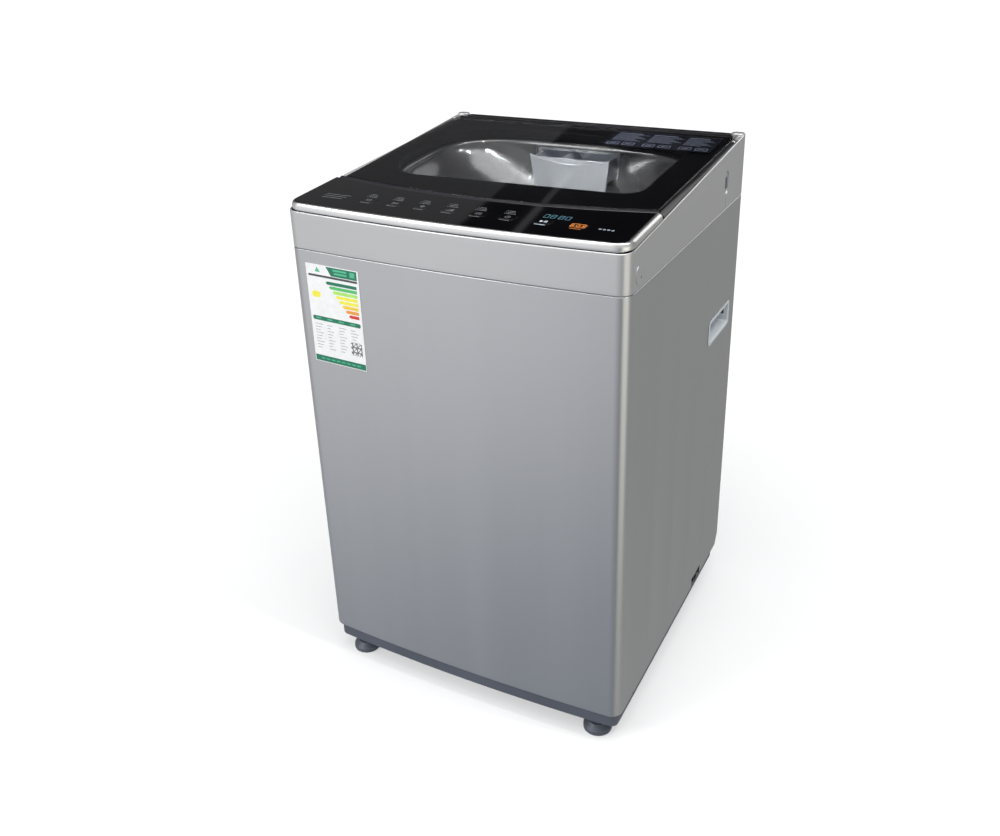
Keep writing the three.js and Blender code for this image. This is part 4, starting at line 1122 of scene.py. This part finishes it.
# ---------------------------------------------------------------- energy label
def energy_label():
    """A generic efficiency label without any lettering, stuck flat to the front."""
    left, right, top, bottom = -246, -146, SEAM - 20, SEAM - 183
    inks = ["white", "green", "mint", "leaf", "lime", "yellow", "amber", "orange", "red", "grey", "ink"]
    slope = (front_at(right) - front_at(left)) / (right - left)
    stand_off = 0.3
    drawing = Print(lambda x, z, h: (x, front_at(left) + slope * (x - left) - stand_off - h, z),
                    [f"paper_{ink}" for ink in inks])
    drawing.shape([(left, bottom), (right, bottom), (right, top), (left, top)], "paper_white", 0.03, 0.10)

    def form(points, ink, lift=0.0):
        """A shape from distances right of the label's left edge, and below its top edge."""
        outline = [(left + across, top - down) for across, down in points]
        drawing.shape(outline, "paper_" + ink, 0.11 + lift, 0.14 + lift)

    def patch(x0, x1, down0, down1, ink, lift=0.0):
        form([(x0, down1), (x1, down1), (x1, down0), (x0, down0)], ink, lift)

    form([(48, 15.5), (97, 15.5), (97, 1.5), (39, 1.5)], "green")
    patch(52, 78, 4, 7, "mint", 0.04)
    patch(54, 78, 9, 12, "mint", 0.04)
    patch(84, 93, 4, 12, "mint", 0.04)
    form([(17, 12), (27, 12), (22, 4)], "mint")
    patch(4, 97, 16.5, 20, "ink")
    for i, ink in enumerate(("green", "leaf", "lime", "yellow", "yellow", "amber", "orange", "red")):
        start, middle, half = 36 + i * 5.6, 27.5 + i * 6.9, 2.6
        form([(start, middle), (start + 3, middle + half), (95, middle + half),
              (95, middle - half), (start + 3, middle - half)], ink)
    drawing.shape(rounded_box(left + 7, left + 24, top - 54, top - 44, 4.6)(0), "paper_yellow", 0.11, 0.14)
    drawing.shape(rounded_box(left + 4, right - 4, top - 92, top - 85, 3)(0), "paper_green", 0.11, 0.14)
    for x in (10, 32, 54, 76):
        patch(x, x + 10, 87.4, 89.4, "mint", 0.04)
    for row in range(9):
        for column in range(3 if row > 4 else 4):
            x, down = 7 + column * 23, 98 + row * 5
            patch(x, x + 15 - (row * 3 + column * 5) % 9, down, down + 1.2, "grey")
    size = 2.1
    for i in range(10):
        for j in range(10):
            if (i * 5 + j * 3 + i * j) % 4 < 2:
                x, down = 74 + i * size, 119 + j * size
                patch(x, x + size * 0.9, down, down + size * 0.9, "ink")
    patch(1, 99, 152, 162, "green")
    for i in range(8):
        patch(12 + i * 10, 19 + i * 10, 156, 158, "mint", 0.04)
    drawing.piece("energy_label", "cabinet", "silver_paint")


energy_label()


# ---------------------------------------------------------------- detergent drawer and water inlet
def detergent_drawer():
    low, high = box_of("detergent_drawer")
    half, front, tray_low, tray_high = 70.0, low.y, 796.0, 832.0
    tray = plate("tray", rounded_box(-half, half, front + 3, high.y, 5), tray_low, tray_high, edge=1.0)
    for x0, x1 in ((3 - half, -18), (-15, half - 3)):
        room = rounded_box(x0, x1, front + 8, high.y - 3, 7)
        cut(tray, plate("hole", room, tray_low + 3, tray_high + 2))
    # The front panel leans in towards its foot, and its top edge dips in the middle.
    rings = []
    for depth, inset in ((5, 0), (1.4, 0), (0.5, 0.5), (0, 1.6)):
        foot_x, top_x = half - 6 - inset, half + 5 - inset
        bottom, top = low.z + inset, high.z - inset
        line = bow_line(-foot_x, foot_x, bottom, 0, 24) + straight(foot_x, bottom, top_x, top, 12)
        line += bow_line(top_x, -top_x, top, 12, 40) + straight(-top_x, top, -foot_x, bottom, 12)
        rings.append([(x, front + depth, z) for x, z in line])
    moulding = merged("drawer_moulding", tray, skin("front", rings))
    # The drawer takes the lighter silver, whose colour holds painted light for the glare on its front.
    settle(moulding, "drawer", "silver_plastic", ["detergent_drawer"], DRAWER_PAINTED_LIGHT_SILVER)


def water_valve(name):
    node = f"water_valve_{name}"
    x = VALVE_X[name]
    low, high = box_of(node)
    body = plate("body", rounded_box(x - 18, x + 18, VALVE_Z - 18, VALVE_Z + 18, 4), low.y, BACK - 4,
                 lambda a, b, h: (a, h, b), edge=1.2)
    thread = [(8.8, BACK - 4.5), (12.4, BACK - 4.5)]
    y, pitch = BACK - 3.6, 1.8
    while y < high.y - 1.4:
        thread += [(12.4, y), (13.15, y + 0.45), (13.15, y + 0.7), (12.4, y + 1.15)]
        y += pitch
    thread += [(12.2, high.y - 0.4), (11.8, high.y), (9.4, high.y), (9, high.y - 0.5), (9, BACK - 1)]
    coil = [(0, low.z), (13, low.z), (14, low.z + 1), (14, VALVE_Z - 17), (0, VALVE_Z - 17)]
    pipe = [(0, x + 17), (6, x + 17), (6, x + 21.4), (5.4, x + 22), (0, x + 22)]
    parts = [
        turned("spigot", thread, 64, (x, 0, VALVE_Z), "Y"),
        bore(9.2, BACK - 1.6, BACK - 0.6, 32, (x, 0, VALVE_Z), "Y"),
        turned("coil", coil, 48, (x, 232, 0)),
        turned("pipe", pipe, 32, (0, 228, VALVE_Z), "X"),
    ]
    settle(merged(f"{node}_moulding", body, *parts), "cabinet", "pale_plastic", [node])


def cord_gland():
    low, high = box_of("cord_gland")
    section = [(5.5, low.y), (10, low.y), (10, BACK + GAP), (14, BACK + GAP), (14, BACK + 1.4),
               (12.8, BACK + 2.4), (9.6, high.y - 0.3), (8.4, high.y), (6.1, high.y), (5.5, high.y - 0.6)]
    grommet = turned("cord_grommet", section, 64, (CORD_X, 0, VALVE_Z), "Y")
    settle(grommet, "cabinet", "rubber", ["cord_gland"])


detergent_drawer()
water_valve("cold")
water_valve("hot")
cord_gland()


# ---------------------------------------------------------------- tub, basket and pulsator
def tub_ring():
    low, high = box_of("tub_ring")
    outer = high.x
    section = [(outer - 2.7, 0), (outer, 0), (outer, 15), (outer - 1.2, 16.6), (206, 20.6), (201, 23),
               (199, 26), (199, 33.4), (198.2, 34), (196.6, 34), (196, 33.2), (196, 17.6),
               (outer - 2.7, 13.4)]
    settle(turned("tub_cover_ring", section, 144, (0, 0, low.z)), "tub", "pale_plastic", ["tub_ring"])


def balance_ring():
    low, high = box_of("balance_ring")
    outer, top = high.x, high.z
    section = [(outer - 3.7, low.z), (outer, low.z), (outer, top - 7)]
    section += arc(outer - 6, top - 6, 6, 0, 90, 6)
    section += arc(193, top - 6, 6, 90, 180, 6)
    section += [(186.6, top - 14), (186, top - 20), (186, top - 44), (189, top - 44), (189, top - 10),
                (194, top - 4), (outer - 8, top - 4), (outer - 8, low.z + 14.3), (outer - 3.7, low.z + 14.3)]
    ring = turned("balance_ring_moulding", section, 144)
    settle(ring, "basket", "pale_plastic", ["balance_ring"])


def wash_basket():
    """The drum wall: vertical flutes with a drain hole in each cell."""
    low, high = box_of("wash_basket")
    outer = high.x - 0.2
    around, rows = 72, 24
    hole = 1.9
    base, top = low.z + 8, high.z - 1

    def on_wall(s, z):
        """s runs round the drum in cells."""
        angle = 2 * math.pi * s / around
        flute = 0.9 * (0.5 - 0.5 * math.cos(2 * math.pi * s / 3))
        near_end = min(1.0, max(0.0, min(z - base, top - z) / 30))
        r = outer - 1.0 - flute * near_end
        return r * math.cos(angle), r * math.sin(angle), z

    cell_w, cell_h = 2 * math.pi * outer / around, (top - base) / rows
    corners = ((-1, -1), (0, -1), (1, -1), (1, 0), (1, 1), (0, 1), (-1, 1), (-1, 0))
    hole_line = arc(0, 0, hole, -135, 180, 7)
    points, faces = [], []
    for i in range(around):
        for j in range(rows):
            s, z, start = i + 0.5, base + (j + 0.5) * cell_h, len(points)
            points += [on_wall(s + a / 2, z + b * cell_h / 2) for a, b in corners]
            points += [on_wall(s + a / cell_w, z + b) for a, b in hole_line]
            ends = [(start + k, start + (k + 1) % 8) for k in range(8)]
            faces += [(a, b, b + 8, a + 8) for a, b in ends]
    wall = new_mesh("wall", points, faces)
    first = wall.data.polygons[0]
    thicken(wall, 0.8, first.normal.dot(first.center) > 0)
    foot_section = [
        (outer, low.z + 8.4), (outer - 1, low.z + 8.4), (outer - 1.4, low.z + 5), (outer - 4.6, low.z + 1.3),
        (outer - 25.8, low.z + 1.3), (outer - 25.8, low.z), (outer - 4, low.z), (outer - 0.4, low.z + 3.6)]
    rim_section = [(outer - 1.2, high.z - 1.6), (outer, high.z - 1.6), (outer, high.z), (outer - 1.2, high.z)]
    drum = merged("drum_wall", wall, turned("foot", foot_section, 144), turned("rim", rim_section, 144))
    settle(drum, "basket", "stainless", ["wash_basket"], sharp=30)


def pulsator():
    """A low dish with six swept vanes, as one smooth height field over an inner and outer rim."""
    low, high = box_of("pulsator")
    outer = high.x
    inner = 7.4

    vanes, vane_height, hub_r, hub_height = 6, 17, 34, 24

    def height(r, a):
        dish = 196.5 + 6.5 * (r / outer) ** 2 + hub_height * math.exp(-((r / hub_r) ** 2.2))
        sweep = a - 0.5 * (r / outer) ** 1.5
        vane = max(0.0, math.cos(vanes * sweep)) ** 3
        reach = max(0.0, math.sin(math.pi * min(max((r - 26) / (outer - hub_r), 0), 1))) ** 0.6
        return dish + vane_height * vane * reach

    radii = [inner + (outer - 3 - inner) * i / 54 for i in range(55)]
    steps = 180
    rings = []
    for i in range(steps):
        a = 2 * math.pi * i / steps
        section = [(r, min(height(r, a), high.z - 0.4)) for r in radii]
        edge = section[-1][1]
        section += [
            (outer - 1.2, edge - 0.4), (outer - 0.2, edge - 1.6), (outer, edge - 3), (outer - 1, low.z + 1.4),
            (outer - 3, low.z + 0.2), (outer - 6, low.z + 0.1), (inner, low.z + 0.1)]
        rings.append([(r * math.cos(a), r * math.sin(a), h) for r, h in section])
    dish = skin("pulsator_moulding", rings, loop=True)
    settle(dish, "agitator", "pale_plastic", ["pulsator"], sharp=45)


def pulsator_cap():
    low, high = box_of("pulsator_cap")
    r = high.x
    section = [(0, low.z), (r - 4, low.z), (r - 0.6, low.z + 3), (r, low.z + 4.6), (r - 0.8, low.z + 6)]
    section += [((r - 2) * c, low.z + 6.4 + (high.z - low.z - 6.4) * s) for s, c in quarter(10, 1)[:-1]]
    section += [(0, high.z)]
    settle(turned("pulsator_button", section, 72), "agitator", "bright_trim", ["pulsator_cap"], sharp=40)


def suspension_spring(end, side):
    node = f"suspension_spring_{end}_{side}"
    cx, cy, low, high, outer = middle_of(node)
    wire, turns, per_turn = 2.0, 7.0, 28
    base, top = low + wire, high - wire
    rings = []
    for i in range(int(turns * per_turn) + 1):
        turn = i / per_turn
        # The first and last turns lie flat, as on a ground spring.
        t = min(max((turn - 0.9) / (turns - 1.8), 0), 1)
        z = base + (top - base) * t
        a = 2 * math.pi * turn
        round_wire = arc(outer - wire, z, wire, 0, 324, 9)
        rings.append([(cx + out * math.cos(a), cy + out * math.sin(a), up) for out, up in round_wire])
    coil = skin(f"{node}_coil", rings)
    settle(coil, "cabinet", "stainless", [node], sharp=60)
    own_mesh(coil)


tub_ring()
balance_ring()
wash_basket()
pulsator()
pulsator_cap()
for corner_end, corner_side in CORNERS:
    suspension_spring(corner_end, corner_side)


# ---------------------------------------------------------------- drive, shafts and electrics
def spoke(at, angle, r0, r1, half, z0, z1):
    """A radial block, for cutting slots round an upright axis."""
    c, s = math.cos(angle), math.sin(angle)
    corners = [(r0, -half), (r1, -half), (r1, half), (r0, half)]
    return prism("spoke", [(at[0] + u * c - v * s, at[1] + u * s + v * c) for u, v in corners], z0, z1)


def suspension_rod(end, side):
    node = f"suspension_rod_{end}_{side}"
    x, y, low, high, r = middle_of(node)
    section = [
        (0, low), (r - 1.6, low), (r - 0.4, low + 0.5), (r, low + 1.6), (r, low + 5), (r - 0.5, low + 6),
        (6, low + 6), (4.6, low + 5.6), (4, low + 6.6), (4, high - 9.6), (11.4, high - 9.6), (12, high - 9),
        (12, high - 7.4), (8.4, high - 0.8), (7.4, high), (0, high)]
    settle(turned(f"{node}_turned", section, 48, at=(x, y, 0)), "cabinet", "galvanised", [node])


def hinge_pin(side):
    node = f"lid_hinge_pin_{side}"
    low, high = box_of(node)
    r = (high.z - low.z) / 2
    section = [(0, low.x), (r - 0.7, low.x), (r, low.x + 0.7),
               (r, high.x - 0.7), (r - 0.7, high.x), (0, high.x)]
    settle(turned(f"{node}_turned", section, 32, HINGE, "X"), body_of(node), "galvanised", [node])


def motor():
    x, y, low, high, r = middle_of("motor")
    section = [(5.6, low + 0.2), (20, low + 0.2), (23, low + 1.2), (29, low + 4.4), (40, low + 5.4),
               (r - 6, low + 7), (r - 2.4, low + 11), (r - 2.4, low + 17.6)]
    z = low + 18
    while z < high - 19:
        section += [(r, z), (r, z + 1.3), (r - 0.7, z + 1.5), (r - 0.7, z + 1.9)]
        z += 2.1
    section += [(r - 2.4, z), (r - 2.4, high - 10), (r - 5, high - 5), (r - 10, high - 2), (34, high),
                (5.6, high)]
    case = turned("motor_case", section, 96, at=(x, y, 0))
    for i in range(10):
        angle = 2 * math.pi * (i + 0.5) / 10
        cut(case, spoke((x, y), angle, r - 6, r + 2, 4.2, low + 12.4, low + 16.4),
            spoke((x, y), angle, r - 6, r + 2, 4.2, high - 16.4, high - 11.6))
    settle(case, body_of("motor"), "motor_paint", ["motor"])


def gearbox():
    x, y, low, high, r = middle_of("gearbox")
    section = [(10, low), (42, low), (44, low + 1.4), (44.6, low + 4), (r - 0.6, low + 6.4), (r, low + 8),
               (r, high - 9.6), (r - 1, high - 8), (37, high - 0.8), (36, high), (15.2, high),
               (15.2, low + 26), (10, low + 26)]
    case = turned("gearbox_case", section, 96, at=(x, y, 0))
    for i in range(8):
        angle = 2 * math.pi * i / 8
        cut(case, spoke((x, y), angle, r - 2.6, r + 1, 6, low + 11, high - 13))
    settle(case, body_of("gearbox"), "aluminium", ["gearbox"])


def pulley(node, inner, holes):
    x, y, low, high, r = middle_of(node)
    lower = [(inner, 0), (r - 0.8, 0), (r, 0.8), (r, 1.4), (r - 4.6, 4.4), (r - 5, 5)]
    section = [(a, low + h) for a, h in lower] + [(a, high - h) for a, h in reversed(lower)]
    wheel = turned(f"{node}_turned", section, 96, at=(x, y, 0))
    for i in range(holes):
        angle = 2 * math.pi * i / holes
        at = (x + r * 0.55 * math.cos(angle), y + r * 0.55 * math.sin(angle), 0)
        cut(wheel, bore(r * 0.19, low - 1, high + 1, 32, at))
    settle(wheel, body_of(node), "aluminium", [node])


def shaft(node, inner):
    low, high = box_of(node)
    r = high.x
    section = [(inner, low.z), (r - 0.8, low.z), (r, low.z + 0.8), (r, high.z - 0.8), (r - 0.8, high.z),
               (inner, high.z)]
    settle(turned(f"{node}_turned", section, 48), body_of(node), "stainless", [node])


def basket_base():
    low, high = box_of("basket_base")
    r = high.x
    section = [(15.5, low.z), (39, low.z), (40.4, low.z + 0.8), (43.6, 179.2), (45, 180), (r - 1, 180),
               (r, 181), (r, high.z - 0.8), (r - 0.8, high.z), (r - 26, high.z), (r - 28, 184), (15.5, 184)]
    base = turned("basket_base_moulding", section, 96)
    for i in range(12):
        cut(base, spoke((0, 0), 2 * math.pi * (i + 0.5) / 12, 60, 150, 3, 170, 190))
    settle(base, body_of("basket_base"), "pale_plastic", ["basket_base"])


def control_board():
    """The board under the panel, with relays, capacitors and plugs hanging from it."""
    plan = rounded_box(-205, 214, 18, 88, 2.5, 4)
    parts = [plate("board", plan, -12.4, -10.8, tilted_point, edge=0.2)]
    blocks = [(-180, 70, 40, 24, 8), (205, 72, 14, 20, 6), (-128, 70, 18, 14, 6), (-104, 70, 18, 14, 6),
              (-60, 34, 26, 26, 2), (10, 34, 14, 14, 2), (60, 76, 34, 8, 6), (110, 76, 24, 8, 6),
              (160, 34, 20, 10, 4)]
    for x, up, w, d, h in blocks:
        outline = rounded_box(x - w / 2, x + w / 2, up - d / 2, up + d / 2, 1.0, 3)
        parts.append(plate("part", outline, -12.3 - h, -12.3, tilted_point, edge=0.5))
    for x, up, r in ((-150, 36, 6), (-134, 36, 5), (-80, 74, 5), (40, 34, 4), (90, 36, 5), (130, 36, 5)):
        def can(inset, x=x, up=up, r=r):
            return arc(x, up, r - inset, 0, 345, 23)
        parts.append(plate("can", can, -20, -12.3, tilted_point, edge=0.6))
    board = merged("control_board_parts", *parts)
    settle(board, body_of("control_board"), "circuit_board", ["control_board"])
    board.data.materials.append(INK["part_black"])
    for face in board.data.polygons:
        if face.center.z / MM < top_at(face.center.y / MM) - 13.2:
            face.material_index = 1


def softened(node):
    """A copy of a CAD node whose sharp edges are slightly rounded."""
    obj = linked(f"{node}_moulding", nodes[node].data.copy())
    shape = bmesh.new()
    shape.from_mesh(obj.data)
    bmesh.ops.remove_doubles(shape, verts=shape.verts, dist=1e-6)
    bmesh.ops.dissolve_limit(shape, angle_limit=math.radians(1), verts=shape.verts, edges=shape.edges)
    shape.to_mesh(obj.data)
    shape.free()
    obj.modifiers.clear()
    bevel(obj, 0.5, angle=40)
    settle(obj, body_of(node), slot_of[node], [node])


slot_of = {part["node"]: part["material_slot"] for part in frame["record"]["subparts"]}
for corner_end, corner_side in CORNERS:
    suspension_rod(corner_end, corner_side)
hinge_pin("left")
hinge_pin("right")
motor()
gearbox()
pulley("drive_pulley", 7.3, 5)
pulley("motor_pulley", 5, 0)
shaft("wash_shaft", 0)
shaft("spin_shaft", 9)
basket_base()
control_board()
for node_name in ("detergent_housing", "drain_valve", "drain_outlet", "capacitor", "drive_mount", "outer_tub",
                  "lint_filter_left", "lint_filter_right", "drive_belt"):
    softened(node_name)


# ---------------------------------------------------------------- CAD pieces that stay
for node_name, node in nodes.items():
    if node.hide_render:
        continue
    kept = FINISH[slot_of[node_name]]
    if node.material_slots:
        for material_slot in node.material_slots:
            material_slot.material = kept
    else:
        node.data.materials.append(kept)
    node.data.shade_smooth()
    node.data.set_sharp_from_angle(angle=math.radians(30))


# ---------------------------------------------------------------- studio
def area_light(name, place, target, width, height, power, color=(1, 1, 1)):
    light = bpy.data.lights.new(name, "AREA")
    light.shape = "RECTANGLE"
    light.size, light.size_y = width, height
    light.energy = power
    light.color = color
    obj = linked(name, light)
    obj.location = place
    obj.rotation_euler = (Vector(target) - Vector(place)).to_track_quat("-Z", "Y").to_euler()
    return obj


def seen_in_top(x, up, reach):
    """Where the camera, looking at a point of the sloping top, sees the studio mirrored in it."""
    normal = Vector((0, -TOP_SLOPE, 1)).normalized()
    point = Vector(tilted_point(x, up)) * MM
    eye = scene.camera.matrix_world.translation
    mirrored = eye - 2 * (eye - point).dot(normal) * normal
    return point + (point - mirrored) * reach


def reflector(name, corners, strength, color=(1, 1, 1)):
    """A bright panel that only shows as a reflection."""
    mesh = bpy.data.meshes.new(name)
    mesh.from_pydata(corners, [], [tuple(range(len(corners)))])
    material = bpy.data.materials.new(name)
    material.use_nodes = True
    shader = material.node_tree.nodes["Principled BSDF"]
    shader.inputs["Base Color"].default_value = (0, 0, 0, 1)
    shader.inputs["Emission Color"].default_value = (*color, 1)
    shader.inputs["Emission Strength"].default_value = strength
    mesh.materials.append(material)
    obj = linked(name, mesh)
    obj.visible_camera = obj.visible_diffuse = obj.visible_shadow = obj.visible_transmission = False


def floor_disc():
    """A pale floor that fades into the white behind it."""
    bpy.ops.mesh.primitive_circle_add(vertices=96, radius=4.0, fill_type="NGON")
    floor = bpy.context.object
    floor.name = "floor"
    material = finish("floor_paint", (0.95, 0.95, 0.95), 0.8, 0.0, 0.01, 1.0)
    tree = material.node_tree
    place = add_node(tree, "TexCoord").outputs["Object"]
    away = add_node(tree, "VectorMath", {0: place}, operation="LENGTH").outputs["Value"]
    fade = add_node(tree, "MapRange", {
        "Value": away, "From Min": 0.5, "From Max": 1.5, "To Min": 0.6, "To Max": 0.0,
    }, interpolation_type="SMOOTHSTEP")
    tree.links.new(fade.outputs["Result"], tree.nodes["Principled BSDF"].inputs["Alpha"])
    floor.data.materials.append(material)
    floor.visible_glossy = False


def color_ramp(tree, share, stops):
    """Colours along share; a stop has one number for a grey."""
    ramp = add_node(tree, "ValToRGB", {"Fac": share})
    ramp.color_ramp.interpolation = "EASE"
    elements = ramp.color_ramp.elements
    while len(elements) < len(stops):
        elements.new(0.5)
    for element, (position, color) in zip(elements, stops):
        element.position = position
        element.color = (*(color if isinstance(color, tuple) else (color,) * 3), 1)
    return ramp.outputs["Color"]


def studio_world():
    """White to the camera; to reflections, a ring of softer and darker screens round the object."""
    world = bpy.data.worlds.new("studio")
    world.use_nodes = True
    scene.world = world
    tree = world.node_tree
    way = add_node(tree, "TexCoord").outputs["Generated"]
    axes = add_node(tree, "SeparateXYZ", {"Vector": way}).outputs
    behind = add_node(tree, "Math", {0: axes["Y"], 1: -1.0}, operation="MULTIPLY").outputs["Value"]
    turn = add_node(tree, "Math", {0: axes["X"], 1: behind}, operation="ARCTAN2").outputs["Value"]
    # 0 and 1 lie behind the object, 0.25 to its left, 0.5 in front and 0.75 to its right.
    share = add_node(tree, "MapRange", {"Value": turn, "From Min": -math.pi, "From Max": math.pi})
    share = share.outputs["Result"]

    cream, grey = (1.42, 1.39, 1.25), (0.34, 0.34, 0.33)
    level = color_ramp(tree, share, [
        (0.0, 0.28), (0.25, (0.50, 0.50, 0.51)), (0.42, (1.0, 1.0, 1.03)), (0.52, (0.60, 0.60, 0.63)),
        (0.60, (0.20, 0.20, 0.21)), (0.655, cream), (0.725, cream), (0.785, grey), (0.92, grey), (1.0, 0.28),
    ])
    blue, cream, grey = (0.17, 0.21, 0.26), (0.32, 0.32, 0.315), (0.37, 0.37, 0.36)
    low = color_ramp(tree, share, [
        (0.0, 0.22), (0.25, (0.26, 0.29, 0.33)), (0.42, blue), (0.53, blue), (0.61, (0.18, 0.20, 0.22)),
        (0.665, cream), (0.725, cream), (0.79, grey), (0.92, grey), (1.0, 0.22),
    ])
    dark, pale = (0.005, 0.005, 0.006), (0.62, 0.62, 0.63)
    sky = color_ramp(tree, share, [
        (0.0, dark), (0.18, dark), (0.28, (0.35, 0.35, 0.36)), (0.42, pale), (0.62, pale),
        (0.75, 0.50), (0.88, 0.08), (1.0, dark),
    ])

    def blended(bottom, top, below, above):
        """One colour below a height and another above it, with a soft step between."""
        step = add_node(tree, "MapRange", {"Value": axes["Z"], "From Min": bottom, "From Max": top},
                        interpolation_type="SMOOTHSTEP")
        mix = {"Factor": step.outputs["Result"], 6: below, 7: above}
        return add_node(tree, "Mix", mix, data_type="RGBA").outputs[2]

    screens = blended(-0.72, -0.34, low, level)
    screens = blended(-0.12, 0.16, screens, sky)
    mirrored = tree.nodes["Background"]
    mirrored.inputs["Strength"].default_value = 1.1
    tree.links.new(screens, mirrored.inputs["Color"])
    soft = add_node(tree, "Background", {"Color": (0.95, 0.97, 1.0, 1), "Strength": 0.45})
    white = add_node(tree, "Background", {"Color": (1, 1, 1, 1), "Strength": 1.08})
    rays = add_node(tree, "LightPath").outputs
    glossy = {"Fac": rays["Is Glossy Ray"], 1: soft.outputs[0], 2: mirrored.outputs[0]}
    glossy = add_node(tree, "MixShader", glossy).outputs["Shader"]
    seen = {"Fac": rays["Is Camera Ray"], 1: glossy, 2: white.outputs[0]}
    seen = add_node(tree, "MixShader", seen).outputs["Shader"]
    tree.links.new(seen, tree.nodes["World Output"].inputs["Surface"])


def studio():
    floor_disc()
    studio_world()
    veil = [(-430, 600), (-42, 600), (32, -20), (-430, -20)]
    band = [(56, 400), (66, 400), (124, -20), (112, -20)]
    reflector("veil", [seen_in_top(x, up, 2.0) for x, up in veil], 0.12, (0.97, 0.97, 1.0))
    reflector("band", [seen_in_top(x, up, 2.0) for x, up in band], 0.16, (0.97, 0.97, 1.0))
    area_light("overhead", (0.2, -0.6, 2.9), (0, 0, 0.6), 1.6, 1.6, 34)
    area_light("front_left", (-1.6, -2.4, 2.1), (0, 0, 0.6), 1.4, 1.4, 46)
    area_light("lamp_a", (1.15, -0.35, 2.7), (0, 0, 0.8), 0.05, 0.25, 11)
    area_light("lamp_b", (1.85, -0.05, 2.7), (0, 0, 0.8), 0.05, 0.25, 11)
    glint = area_light("glint", (0.45, -1.3, 2.3), (0.04, 0.14, 0.82), 0.1, 0.1, 0.7)
    glint.data.spread = math.radians(13)
    area_light("rear_fill", (0.8, 2.6, 1.7), (0, 0, 0.5), 1.6, 1.6, 16)
    scene.view_settings.view_transform = "Standard"


studio()
